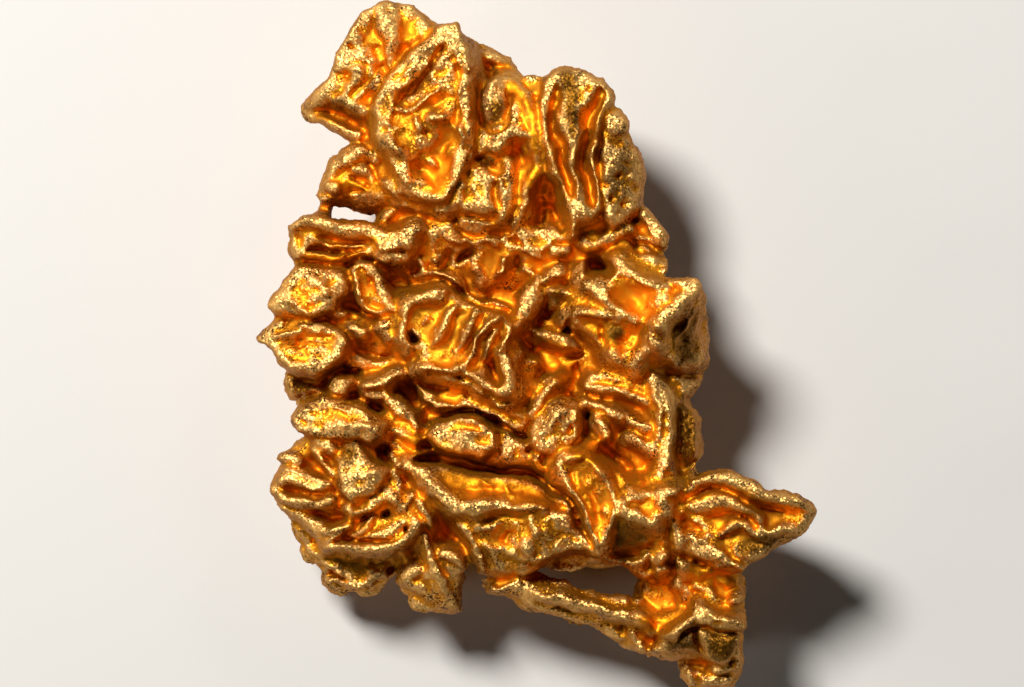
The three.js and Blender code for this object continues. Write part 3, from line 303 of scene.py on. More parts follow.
shoulder = {   # the right shoulder: small knobs, an open loop and the wall outside it
    "plates": [
        plate([(4.6, 5.9), (5.1, 5.3), (5.75, 4.6), (5.8, 4.3), (5.2, 4.35), (4.2, 4.5), (3.6, 4.7),
               (3.9, 5.1), (4.3, 5.4)], 7.0, (0.0, -0.1), edge=0.2, rim=0.28, bowl=0.35, reach=0.25),
        plate([(4.2, 3.6), (4.4, 4.3), (4.8, 4.45), (5.5, 4.1), (5.65, 3.4), (5.2, 2.7), (4.6, 2.9),
               (4.1, 3.2)], 7.0, (0.0, 0.1), edge=0.45),
        plate([(1.5, 5.3), (2.4, 5.6), (3.2, 5.3), (3.8, 5.0), (4.4, 4.4), (4.3, 3.6), (3.6, 3.5),
               (2.8, 3.7), (2.2, 3.4), (1.7, 2.6), (1.6, 1.4), (1.3, 1.5), (1.3, 2.6), (1.3, 3.6)], 6.9,
              (0.0, 0.1), edge=0.3, wall=1.2),
        plate([(1.5, 2.4), (2.1, 2.9), (2.7, 2.75), (3.1, 2.1), (3.3, 1.7), (3.9, 1.3), (4.3, 1.1),
               (2.0, 1.0), (1.5, 1.1), (1.4, 1.8)], 8.2, (0.25, 0.1), edge=0.25),
        plate([(3.0, 2.8), (3.6, 3.65), (4.2, 3.1), (5.0, 2.75), (5.8, 2.5), (5.6, 1.7), (5.0, 0.9),
               (4.4, 0.8), (3.8, 1.1), (3.2, 1.8)], 8.6, (0.05, 0.0), edge=0.12, rim=0.12, bowl=0.9,
              reach=0.8, wall=3.0),
        plate([(1.6, 1.0), (2.4, 1.05), (3.4, 1.05), (4.0, 0.8), (4.4, 1.0), (4.8, 0.7), (4.3, -0.1),
               (3.8, -0.3), (4.1, -0.5), (3.8, -0.9), (3.3, -0.7), (3.0, -0.2), (2.3, 0.2)], 8.1,
              (0.0, -0.05), edge=0.22, wall=2.0),
        plate([(2.95, 0.9), (3.3, 1.0), (3.8, 0.8), (3.85, 0.35), (3.3, 0.0), (3.0, 0.2)], 8.35, (0.0, 0.0),
              edge=0.1),
        plate([(5.9, 2.9), (7.1, 2.9), (7.5, 2.1), (7.65, 1.2), (7.5, 0.2), (7.4, -0.9), (6.5, -1.0),
               (5.4, -0.7), (5.0, 0.2), (5.6, 1.4)], 7.5, (-0.5, 0.0), edge=0.4, wall=2.0),
    ],
    "bars": [
        [(1.9, 4.7, 0.28, 7.3), (2.3, 4.35, 0.34, 7.5), (2.5, 4.25, 0.2, 7.4)],
        [(2.8, 4.55, 0.36, 7.5), (3.3, 4.7, 0.32, 7.4)],
        [(3.8, 4.85, 0.2, 7.4), (4.1, 4.9, 0.2, 7.4)],
        [(0.9, 4.15, 0.28, 7.2), (1.3, 4.2, 0.25, 7.3)],
        [(4.8, 5.6, 0.25, 7.1), (5.3, 4.9, 0.28, 7.2), (5.55, 4.5, 0.24, 7.0)],
        [(4.5, 3.6, 0.3, 7.3), (5.0, 3.6, 0.36, 7.4), (5.35, 3.4, 0.26, 7.2)],
        [(2.2, 2.8, 0.18, 8.6), (2.7, 2.5, 0.26, 8.9), (3.05, 2.0, 0.22, 9.0), (3.4, 1.55, 0.18, 8.9),
         (4.0, 1.25, 0.15, 8.8), (4.3, 1.15, 0.12, 8.7)],
        [(3.55, 3.65, 0.07, 8.3), (4.0, 3.15, 0.08, 8.6), (4.5, 2.8, 0.10, 8.8), (5.0, 2.6, 0.12, 9.0),
         (5.7, 2.5, 0.14, 9.0)],
        [(5.6, 2.1, 0.16, 9.1), (5.35, 1.6, 0.14, 9.1), (5.3, 2.2, 0.2, 9.0)],
        [(6.15, 2.85, 0.22, 9.0), (6.7, 2.6, 0.52, 9.1), (6.4, 2.1, 0.42, 9.3), (5.9, 1.6, 0.3, 9.5),
         (5.5, 1.2, 0.26, 9.5), (5.2, 0.7, 0.28, 9.4), (4.95, 0.2, 0.26, 9.2), (4.6, -0.3, 0.2, 8.9),
         (4.2, -0.8, 0.2, 8.5)],
        [(5.05, 0.25, 0.22, 9.5), (5.15, 0.15, 0.2, 9.5)],
        [(5.3, 0.85, 0.2, 9.6), (5.5, 0.8, 0.16, 9.5)],
        [(3.35, -0.2, 0.25, 8.5), (3.6, -0.55, 0.24, 8.5), (3.9, -0.4, 0.2, 8.4)],
        [(1.9, 1.35, 0.2, 8.5), (2.8, 1.25, 0.2, 8.7), (3.7, 1.1, 0.16, 8.7), (4.2, 0.9, 0.2, 8.6)],
    ],
    "sinks": [
        [(2.6, 3.35, 0.5, 2.2), (3.2, 3.15, 0.5, 2.2)], [(4.2, 0.3, 0.3, 0.4), (4.5, 0.6, 0.25, 0.4)],
        [(4.5, 5.1, 0.25, 0.3)], [(2.3, 1.9, 0.3, 0.25), (1.9, 1.6, 0.3, 0.25)],
        [(6.3, 1.1, 0.25, 0.4), (5.8, 0.4, 0.25, 0.4)],
    ],
    "cracks": [
        [(1.5, 1.1, 0.14, 0.8), (1.4, 0.7, 0.16, 0.9), (1.2, 0.6, 0.12, 0.6)],
        [(1.75, 1.12, 0.08, 0.3), (2.8, 1.05, 0.08, 0.35), (3.9, 0.95, 0.08, 0.3)],
    ],
    "ridges": [
        [(6.9, 1.4, 0.14, 0.3), (6.4, 0.8, 0.14, 0.3), (6.2, 0.2, 0.14, 0.2)],
        [(7.3, 1.4, 0.16, 0.3), (7.0, 0.9, 0.14, 0.3)], [(5.9, -0.3, 0.08, 0.4), (6.1, -0.9, 0.08, 0.4)],
    ],
    "pits": [
        (4.6, 4.05, 0.22, 0.5), (3.6, 3.8, 0.12, 0.3), (2.4, 0.9, 0.14, 0.4), (2.7, 0.3, 0.2, 0.4),
        (3.3, 0.15, 0.1, 0.2), (6.9, 1.0, 0.16, 0.35), (6.6, 0.4, 0.2, 0.4), (7.0, -0.2, 0.16, 0.3),
        (6.7, 1.4, 0.14, 0.35), (6.4, -0.5, 0.2, 0.3), (7.2, 0.5, 0.14, 0.3), (1.9, 4.6, 0.1, 0.3),
        (5.0, 1.6, 0.12, 0.2),
    ],
    "rows": [
        ((4.3, 1.4), (4.8, 2.0), 5, 0.08, 0.12), ((4.6, 1.3), (5.0, 1.9), 5, 0.08, 0.12),
        ((4.2, 2.8), (5.5, 2.3), 9, 0.08, 0.12),
    ],
}

leftArm = {   # the arm and the grooved bar that close the upper left opening
    "plates": [
        plate([(-9.0, 8.0), (-9.35, 7.3), (-9.6, 6.6), (-9.3, 6.2), (-8.6, 6.15), (-7.8, 6.05),
               (-7.0, 5.95), (-6.2, 6.1), (-5.6, 6.5), (-6.3, 7.2), (-6.6, 8.0), (-7.4, 8.9), (-8.3, 8.6)],
              7.0, (0.06, 0.12), edge=0.5, wall=3.0),
        plate([(-6.7, 5.0), (-6.4, 5.9), (-5.8, 6.1), (-4.9, 5.8), (-4.8, 5.2), (-5.6, 5.0)], 6.5,
              edge=0.3),
        plate([(-10.75, 4.2), (-10.6, 5.0), (-10.1, 5.4), (-9.5, 5.5), (-7.5, 5.5), (-7.0, 5.35),
               (-6.4, 5.15), (-5.9, 4.9), (-5.0, 5.3), (-4.85, 5.1), (-5.3, 4.5), (-5.6, 3.9), (-6.2, 3.3),
               (-6.9, 3.5), (-7.2, 3.8), (-10.3, 3.65)], 7.2, (0.06, -0.03), edge=0.35),
    ],
    "bars": [
        [(-9.2, 6.4, 0.2, 5.9), (-9.22, 5.9, 0.2, 5.6), (-9.25, 5.4, 0.22, 6.2)],
        [(-9.0, 7.05, 0.24, 7.2), (-8.75, 6.9, 0.25, 7.3)],
        [(-9.3, 6.5, 0.14, 6.8), (-9.2, 6.4, 0.12, 6.8)],
        [(-7.5, 8.35, 0.32, 7.4), (-7.2, 8.2, 0.25, 7.3)],
        [(-8.1, 8.2, 0.25, 7.3), (-7.9, 7.7, 0.18, 7.3), (-7.5, 7.4, 0.18, 7.3)],
        [(-6.7, 8.5, 0.32, 7.5), (-6.9, 8.0, 0.2, 7.3)],
        [(-6.3, 5.6, 0.2, 6.8), (-6.1, 5.85, 0.2, 6.9)],
        [(-10.3, 4.9, 0.25, 7.1), (-9.6, 5.15, 0.28, 7.4), (-8.6, 5.15, 0.3, 7.5), (-7.5, 5.1, 0.34, 7.6),
         (-6.7, 4.8, 0.36, 7.7), (-6.2, 4.6, 0.3, 7.7), (-5.7, 4.6, 0.26, 7.7), (-5.2, 5.05, 0.2, 7.6)],
        [(-6.7, 4.6, 0.25, 7.6), (-6.5, 4.2, 0.26, 7.6), (-5.7, 4.35, 0.2, 7.6)],
        [(-6.5, 3.7, 0.22, 7.3), (-5.9, 3.75, 0.22, 7.3)],
        [(-9.7, 4.5, 0.1, 7.1), (-9.3, 4.35, 0.1, 7.1)],
    ],
    "sinks": [
        [(-9.2, 4.6, 0.2, 0.4), (-8.3, 4.6, 0.25, 0.7), (-7.2, 4.55, 0.2, 0.6)],
        [(-8.0, 6.65, 0.2, 0.5), (-7.5, 6.75, 0.16, 0.4)], [(-10.2, 4.4, 0.3, 0.3)],
        [(-8.4, 7.5, 0.36, 0.25), (-7.5, 7.9, 0.2, 0.4)],
    ],
    "cracks": [
        [(-9.8, 4.15, 0.1, 0.4), (-8.8, 4.2, 0.16, 0.8), (-8.0, 4.15, 0.16, 0.8), (-7.4, 4.25, 0.1, 0.4)],
        [(-8.1, 7.3, 0.1, 0.5), (-7.2, 6.95, 0.1, 0.5)], [(-6.4, 4.1, 0.1, 0.5), (-5.8, 4.1, 0.1, 0.5)],
    ],
    "pits": [
        (-6.85, 6.25, 0.15, 0.5), (-6.2, 3.65, 0.14, 0.4), (-7.8, 4.95, 0.12, 0.2), (-5.9, 4.05, 0.12, 0.3),
    ],
    "rows": [
        ((-9.9, 5.2), (-7.2, 5.15), 12, 0.16, 0.10), ((-8.6, 3.98), (-7.2, 4.0), 4, 0.16, 0.25),
        ((-6.7, 4.9), (-5.1, 5.0), 9, 0.12, 0.14),
    ],
}

leftBlocks = {   # blunt crystal blocks down the left side
    "plates": [
        plate([(-11.7, 1.8), (-11.2, 2.5), (-11.0, 3.0), (-10.5, 3.5), (-10.0, 3.6), (-8.4, 3.45),
               (-8.3, 3.0), (-8.5, 2.1), (-8.7, 1.5), (-10.0, 1.35), (-11.3, 1.35)], 7.5, (0.12, -0.14),
              edge=0.18, wall=2.6),
        plate([(-8.25, 3.4), (-7.8, 3.65), (-7.2, 3.55), (-6.9, 3.1), (-6.5, 2.6), (-6.1, 2.1), (-6.0, 1.3),
               (-6.9, 1.3), (-7.9, 2.0), (-8.2, 2.6)], 7.3, (0.05, 0.05), edge=0.2, rim=0.28, bowl=0.4,
              reach=0.25),
        plate([(-8.7, 2.0), (-8.2, 2.2), (-7.0, 1.3), (-6.0, 1.3), (-5.95, 0.0), (-7.0, -0.3), (-8.2, 0.3),
               (-9.1, 1.3)], 6.7, (0.05, 0.1), edge=0.3, wall=1.4),
        plate([(-12.2, 0.4), (-11.9, 0.9), (-11.3, 1.2), (-10.3, 1.3), (-9.0, 0.95), (-8.4, 0.5),
               (-8.2, 0.1), (-8.6, -0.6), (-9.5, -1.1), (-10.5, -1.2), (-11.2, -0.8), (-11.6, -0.2)], 7.3,
              (0.13, -0.10), edge=0.16, rim=0.3, bowl=0.3, reach=0.25, wall=2.6),
        plate([(-8.3, 0.0), (-6.0, -0.2), (-5.6, -1.0), (-6.2, -1.4), (-8.4, -1.2), (-8.6, -0.6)], 6.5,
              (0.0, 0.1), edge=0.3, wall=1.4),
        plate([(-11.1, -1.2), (-10.6, -1.1), (-9.9, -1.5), (-10.0, -2.0), (-10.6, -2.4), (-11.1, -2.0)],
              5.9, edge=0.4),
        plate([(-9.1, -1.7), (-8.7, -1.2), (-7.9, -1.15), (-7.7, -1.6), (-8.2, -2.1), (-8.9, -2.1)], 7.2,
              (0.0, -0.1), edge=0.35),
        plate([(-7.6, -2.0), (-7.1, -1.6), (-6.4, -1.3), (-5.9, -1.2), (-6.2, -2.0), (-6.5, -2.5),
               (-7.4, -2.35)], 7.1, (0.0, -0.15), edge=0.2),
    ],
    "bars": [
        [(-8.7, 1.4, 0.2, 7.1), (-8.4, 1.3, 0.2, 7.1)],
        [(-8.1, 0.8, 0.25, 7.1), (-7.7, 0.6, 0.28, 7.2)],
        [(-7.2, 0.9, 0.2, 7.0), (-6.7, 0.8, 0.34, 7.3), (-6.4, 0.5, 0.3, 7.3)],
        [(-6.2, 1.1, 0.18, 7.5), (-5.95, 0.8, 0.12, 7.6)],
        [(-7.3, -1.75, 0.15, 7.4), (-6.7, -1.55, 0.14, 7.5), (-6.2, -1.3, 0.13, 7.5),
         (-5.9, -1.15, 0.12, 7.4)],
        [(-6.4, -2.5, 0.2, 7.3), (-5.95, -2.8, 0.3, 7.5), (-5.6, -3.1, 0.16, 7.3),
         (-5.35, -3.5, 0.12, 7.2)],
        [(-10.2, -2.0, 0.14, 6.4), (-9.6, -1.85, 0.1, 6.5)],
        [(-10.9, -1.6, 0.25, 6.1), (-10.6, -2.2, 0.25, 6.0)],
    ],
    "sinks": [
        [(-7.25, 2.75, 0.28, 0.5)], [(-7.4, 2.05, 0.2, 0.4), (-6.9, 1.7, 0.16, 0.3)],
        [(-8.5, 1.95, 0.26, 0.5), (-7.8, 1.6, 0.3, 0.7), (-7.2, 1.2, 0.25, 0.5)],
        [(-7.1, -2.7, 0.32, 2.0), (-6.9, -2.9, 0.3, 1.8)],
        [(-6.0, -1.7, 0.16, 0.6), (-5.65, -2.0, 0.42, 2.4), (-5.4, -2.5, 0.36, 2.0)],
        [(-10.3, 2.5, 0.22, 0.25), (-10.0, 2.2, 0.2, 0.25)],
        [(-9.9, 1.75, 0.16, 0.25), (-9.4, 1.8, 0.16, 0.3)],
        [(-9.1, 2.5, 0.14, 0.3), (-8.7, 2.9, 0.14, 0.3)],
        [(-10.4, 0.3, 0.2, 0.3), (-9.4, 0.45, 0.16, 0.35), (-8.8, 0.35, 0.2, 0.3)],
        [(-11.0, 0.9, 0.12, 0.3), (-10.3, 1.0, 0.12, 0.3)],
    ],
    "ridges": [
        [(-11.5, 0.45, 0.22, 0.3), (-10.9, 0.55, 0.2, 0.35), (-10.3, 0.6, 0.16, 0.35),
         (-10.0, 1.0, 0.12, 0.3)],
        [(-9.9, 0.9, 0.12, 0.3), (-9.5, 0.65, 0.12, 0.3), (-9.2, 0.85, 0.14, 0.3)],
        [(-9.9, 3.1, 0.25, 0.2), (-9.4, 2.6, 0.35, 0.3), (-9.0, 2.1, 0.25, 0.3)],
        [(-11.1, 2.0, 0.2, 0.25), (-10.4, 1.75, 0.14, 0.3), (-9.8, 1.5, 0.12, 0.3)],
        [(-7.9, 2.9, 0.2, 0.3), (-7.8, 2.4, 0.2, 0.35)],
        [(-7.0, 2.2, 0.2, 0.3), (-6.5, 1.9, 0.2, 0.35), (-6.3, 1.5, 0.16, 0.3)],
        [(-8.6, -1.4, 0.25, 0.2), (-8.2, -1.4, 0.2, 0.2)],
    ],
    "cracks": [
        [(-10.9, 0.1, 0.1, 0.3), (-10.0, 0.1, 0.12, 0.4), (-9.0, 0.15, 0.1, 0.3)],
        [(-7.7, 3.35, 0.1, 0.4), (-7.4, 3.2, 0.1, 0.4)],
    ],
    "pits": [
        (-10.3, 2.85, 0.16, 0.3), (-9.7, 3.3, 0.1, 0.2), (-9.5, 2.35, 0.12, 0.3), (-9.4, -0.8, 0.16, 0.2),
        (-10.2, -0.5, 0.16, 0.25), (-7.8, 2.15, 0.14, 0.4), (-6.2, 1.5, 0.12, 0.2), (-10.8, 1.0, 0.14, 0.3),
        (-11.4, 1.7, 0.12, 0.2),
    ],
    "rows": [
        ((-6.9, 0.6), (-6.3, 0.9), 4, 0.1, 0.2), ((-10.9, 2.4), (-9.9, 3.3), 5, 0.16, 0.12),
        ((-11.4, 0.1), (-9.4, -0.6), 8, 0.16, 0.12),
    ],
}

ribbedLeaf = {   # the leaf in the middle, with a rolled edge and slanting ribs
    "plates": [
        plate([(-5.0, 5.3), (-3.0, 5.7), (-1.0, 5.5), (0.6, 4.7), (1.4, 3.8), (1.4, 2.6), (1.3, 1.4),
               (0.2, 1.2), (-1.0, 1.5), (-2.0, 1.9), (-3.0, 2.1), (-3.7, 2.6), (-4.3, 3.0), (-5.2, 2.9),
               (-5.9, 3.4), (-5.5, 4.2)], 6.5, (0.02, 0.25), edge=0.25, wall=1.6),
        plate([(-5.85, 1.1), (-5.6, 1.8), (-5.0, 2.4), (-4.5, 2.55), (-3.8, 2.4), (-3.3, 2.0), (-2.5, 1.8),
               (-1.5, 1.5), (-1.1, 1.2), (-0.8, 0.8), (-1.0, 0.3), (-1.1, -0.3), (-0.95, -1.0),
               (-0.85, -1.6), (-1.1, -2.0), (-1.9, -2.15), (-2.5, -1.75), (-2.9, -1.25), (-3.6, -1.1),
               (-4.4, -1.15), (-4.9, -0.9), (-5.2, -0.3), (-5.5, -0.05), (-5.8, 0.4)], 8.1, (0.10, 0.0),
              edge=0.25, rim=0.3, bowl=0.3, reach=0.5, wall=2.6),
        plate([(-5.0, -1.5), (-5.0, -2.2), (-4.2, -2.85), (-3.0, -2.85), (-1.8, -3.25), (-0.6, -3.9),
               (0.0, -3.4), (-0.3, -2.9), (-0.8, -2.4), (-1.2, -2.0), (-2.2, -2.0), (-3.0, -1.1),
               (-4.2, -1.0)], 7.1, (0.04, 0.08), edge=0.2, rim=0.3, bowl=0.35, reach=0.4, wall=1.8),
        plate([(-4.9, -3.9), (-4.4, -3.2), (-3.4, -3.1), (-2.3, -3.4), (-1.7, -3.9), (-1.75, -4.4),
               (-2.5, -4.8), (-3.3, -4.8), (-4.2, -4.6)], 7.8, (0.12, -0.12), edge=0.2),
        plate([(-7.6, -4.3), (-6.4, -3.5), (-5.3, -3.5), (-4.2, -3.0), (-1.8, -3.4), (-0.5, -4.1),
               (0.6, -4.8), (1.2, -4.8), (1.5, -5.8), (1.4, -6.4), (0.6, -6.1), (-0.8, -5.45),
               (-2.8, -5.05), (-4.2, -4.95), (-5.2, -4.75), (-6.4, -4.9)], 6.9, (0.03, 0.12), edge=0.25,
              wall=2.4),
        plate([(-0.85, 2.2), (-0.4, 2.75), (0.1, 2.85), (0.3, 2.3), (0.35, 1.8), (0.1, 1.2), (-0.5, 1.0),
               (-0.7, 1.5)], 7.6, (0.0, -0.1), edge=0.5),
        plate([(0.4, 2.2), (0.9, 2.4), (1.45, 2.25), (1.1, 1.6), (0.6, 1.5)], 7.3, (0.0, 0.1), edge=0.2),
        plate([(-0.9, 0.6), (0.1, 1.3), (1.5, 1.3), (2.4, 0.2), (3.4, -0.8), (4.6, -0.8), (5.2, -2.0),
               (5.0, -4.5), (4.6, -6.2), (3.4, -6.0), (2.4, -4.6), (1.4, -4.9), (0.0, -4.9), (-0.6, -3.8),
               (-0.8, -2.6), (-0.9, -1.0)], 6.7, (0.0, -0.02), edge=0.15, rim=0.2, bowl=0.3, reach=1.2,
              wall=1.2),
        plate([(0.05, 0.7), (0.6, 0.8), (1.2, 0.65), (1.6, 0.2), (1.75, -0.2), (1.3, -0.35), (0.8, -0.1),
               (0.3, 0.3)], 7.3, (0.0, 0.1), edge=0.25, wall=1.6),
    ],
    "bars": [
        [(-5.5, 0.0, 0.12, 7.9), (-5.75, 0.5, 0.13, 8.0), (-5.8, 1.0, 0.13, 8.0), (-5.6, 1.6, 0.18, 8.1),
         (-5.2, 2.1, 0.2, 8.2)],
        [(-5.0, 2.15, 0.25, 8.4), (-4.4, 2.25, 0.28, 8.5), (-4.0, 2.1, 0.2, 8.4)],
        [(-4.9, -0.95, 0.12, 8.2), (-4.2, -1.05, 0.14, 8.3), (-3.5, -1.0, 0.14, 8.5),
         (-3.0, -0.85, 0.14, 8.5)],
        [(-1.35, -0.2, 0.18, 8.8), (-1.15, -0.9, 0.22, 8.9), (-1.05, -1.5, 0.24, 9.0),
         (-1.35, -1.85, 0.24, 9.0), (-1.9, -1.95, 0.2, 8.9), (-2.4, -1.6, 0.16, 8.8),
         (-2.9, -1.15, 0.14, 8.6)],
        [(0.15, 2.75, 0.12, 7.6), (0.5, 3.0, 0.12, 7.6), (1.0, 3.2, 0.2, 7.5)],
        [(0.6, 2.3, 0.14, 7.5), (1.3, 2.25, 0.12, 7.5)],
        [(-0.25, -2.9, 0.11, 7.6), (0.3, -2.2, 0.13, 7.9), (0.9, -1.5, 0.11, 7.9)],
        [(-0.4, -1.6, 0.25, 7.4), (-0.1, -1.8, 0.25, 7.5)],
        [(-0.45, -0.9, 0.12, 7.3), (0.0, -0.6, 0.12, 7.3)],
        [(-6.3, -3.7, 0.2, 7.2), (-5.7, -3.8, 0.2, 7.2), (-5.2, -4.15, 0.2, 7.2)],
        [(-6.6, -3.1, 0.2, 6.9), (-6.2, -3.4, 0.16, 7.0), (-5.6, -3.5, 0.14, 7.0)],
        [(-0.6, 1.0, 0.16, 7.8), (-1.0, 0.8, 0.2, 8.0)],
    ],
    "sinks": [
        [(-5.45, 0.7, 0.2, 1.2), (-5.35, 0.3, 0.32, 2.2)],
        [(-1.85, -0.8, 0.5, 1.4), (-1.75, -1.25, 0.5, 1.6)],
        [(-1.35, 0.75, 0.2, 0.4), (-1.5, 0.3, 0.22, 0.5)],
        [(-2.4, 0.2, 0.14, 0.3), (-2.35, -0.3, 0.2, 0.4), (-2.5, -0.9, 0.25, 0.3)],
        [(-5.0, -1.5, 0.3, 0.8), (-4.5, -1.8, 0.3, 0.8), (-3.9, -1.7, 0.25, 0.6)],
        [(-3.2, -1.8, 0.2, 0.6), (-3.1, -2.3, 0.2, 0.6)], [(-5.0, -3.2, 0.3, 1.8), (-4.8, -3.0, 0.25, 1.4)],
        [(0.3, -0.3, 0.4, 0.6), (0.8, -0.9, 0.4, 0.7), (-0.4, 0.2, 0.3, 0.5)], [(-2.45, -4.2, 0.26, 0.45)],
        [(-3.0, 4.0, 0.36, 0.9), (-3.4, 3.6, 0.3, 0.8)], [(-3.9, 3.9, 0.25, 0.5), (-4.0, 3.3, 0.25, 0.4)],
        [(-1.6, 2.4, 0.5, 0.5), (-0.9, 1.9, 0.3, 0.6)], [(-0.9, 3.8, 0.25, 0.5), (-1.0, 3.3, 0.25, 0.5)],
        [(-1.3, 4.6, 0.3, 0.4), (-0.9, 4.5, 0.25, 0.4)],
    ],
    "ridges": [
        [(-4.45, 0.1, 0.34, 0.5), (-4.15, 0.7, 0.42, 0.8), (-3.75, 1.3, 0.38, 0.8),
         (-3.35, 1.6, 0.28, 0.6)],
        [(-3.5, -0.2, 0.32, 0.5), (-3.1, 0.5, 0.42, 0.8), (-2.7, 1.1, 0.40, 0.8), (-2.35, 1.55, 0.3, 0.6)],
        [(-2.85, -0.5, 0.24, 0.6), (-2.45, 0.2, 0.28, 0.8), (-2.05, 0.8, 0.30, 0.9),
         (-1.55, 1.2, 0.30, 0.8)],
        [(-2.15, -0.4, 0.22, 0.6), (-1.95, 0.05, 0.22, 0.7), (-1.6, 0.7, 0.2, 0.6)],
        [(-1.4, -0.2, 0.16, 0.4), (-1.25, 0.2, 0.14, 0.4), (-0.9, 0.6, 0.16, 0.4)],
        [(-3.5, -0.9, 0.12, 0.3), (-3.45, -0.5, 0.1, 0.3), (-3.2, -0.35, 0.1, 0.3)],
        [(-4.9, 1.0, 0.14, 0.3), (-4.7, 1.3, 0.12, 0.3)],
        [(-3.2, -1.5, 0.14, 0.3), (-2.5, -2.15, 0.16, 0.35), (-1.6, -2.75, 0.16, 0.35),
         (-0.7, -3.05, 0.14, 0.3)],
        [(-4.7, -2.5, 0.16, 0.35), (-3.6, -2.65, 0.16, 0.35), (-2.4, -2.95, 0.16, 0.3),
         (-0.9, -3.6, 0.16, 0.3)],
        [(-4.0, -3.35, 0.14, 0.2), (-3.0, -3.35, 0.14, 0.25), (-2.1, -3.65, 0.14, 0.25)],
        [(-3.2, -3.85, 0.2, 0.15), (-2.4, -3.85, 0.1, 0.2), (-1.9, -3.95, 0.12, 0.2),
         (-2.0, -4.4, 0.14, 0.2), (-2.8, -4.5, 0.2, 0.15)],
        [(-1.55, 3.75, 0.3, 0.7), (-1.55, 3.3, 0.32, 0.7)],
        [(-4.6, 3.65, 0.34, 0.6), (-4.5, 3.5, 0.3, 0.6)], [(-3.9, 4.6, 0.3, 0.4), (-3.5, 4.4, 0.25, 0.4)],
        [(-2.4, 4.7, 0.3, 0.4), (-2.0, 4.4, 0.3, 0.3)], [(-2.6, 3.2, 0.4, 0.4), (-2.2, 2.8, 0.4, 0.3)],
        [(-0.5, 4.2, 0.3, 0.4), (0.1, 4.0, 0.25, 0.4)], [(-0.5, 3.3, 0.3, 0.35), (-0.2, 3.1, 0.25, 0.35)],
        [(-5.3, 3.6, 0.3, 0.4), (-5.1, 3.3, 0.25, 0.4)], [(1.3, -0.05, 0.2, 0.25)],
        [(-6.4, -4.3, 0.25, 0.25), (-5.2, -4.6, 0.2, 0.25), (-3.6, -4.95, 0.14, 0.2)],
        [(-0.6, -4.5, 0.25, 0.3), (-0.2, -4.2, 0.2, 0.3)],
        [(-4.9, -2.3, 0.12, 0.25), (-4.2, -2.4, 0.1, 0.3), (-3.8, -2.5, 0.1, 0.2)],
    ],
    "cracks": [
        [(-6.0, 2.75, 0.3, 1.0), (-4.9, 2.8, 0.3, 1.1), (-4.1, 2.75, 0.26, 1.2), (-3.6, 2.4, 0.2, 1.2),
         (-2.9, 2.0, 0.18, 1.2), (-2.0, 1.75, 0.18, 1.2), (-1.1, 1.45, 0.18, 0.9)],
        [(-4.7, -3.0, 0.12, 0.7), (-3.0, -3.0, 0.12, 0.7), (-1.8, -3.35, 0.12, 0.7),
         (-0.5, -3.98, 0.12, 0.6)],
        [(-2.5, -2.0, 0.12, 0.5), (-1.9, -2.4, 0.2, 0.6), (-1.2, -2.35, 0.16, 0.5)],
        [(-5.0, -4.25, 0.14, 0.4), (-4.4, -4.5, 0.12, 0.4), (-4.0, -4.65, 0.14, 0.5)],
        [(-4.0, -3.65, 0.08, 0.25), (-3.0, -3.62, 0.08, 0.3), (-2.0, -3.82, 0.08, 0.25)],
        [(-4.6, -1.2, 0.12, 0.4), (-3.6, -1.25, 0.12, 0.4), (-2.9, -1.45, 0.12, 0.5)],
    ],
    "pits": [
        (1.45, 0.6, 0.2, 0.7), (-5.0, 0.7, 0.1, 0.4), (-4.85, 1.85, 0.16, 0.4), (-2.2, -4.2, 0.12, 0.4),
        (-4.4, -0.1, 0.16, 0.2), (-3.9, -0.5, 0.2, 0.25), (-6.2, -3.35, 0.14, 0.3),
        (-1.65, 3.45, 0.08, 0.3), (0.7, 2.9, 0.1, 0.3),
    ],
    "rows": [
        ((-2.9, 0.2), (-2.3, 1.3), 7, 0.11, 0.15), ((-5.0, 2.3), (-3.8, 2.2), 7, 0.12, 0.16),
        ((-2.8, 1.6), (-2.2, 1.5), 4, 0.1, 0.2), ((-3.2, 0.0), (-2.7, 0.9), 6, 0.1, 0.15),
        ((-4.6, -1.0), (-3.1, -1.0), 9, 0.1, 0.12), ((-1.1, -0.6), (-1.0, -1.7), 7, 0.12, 0.12),
    ],
}

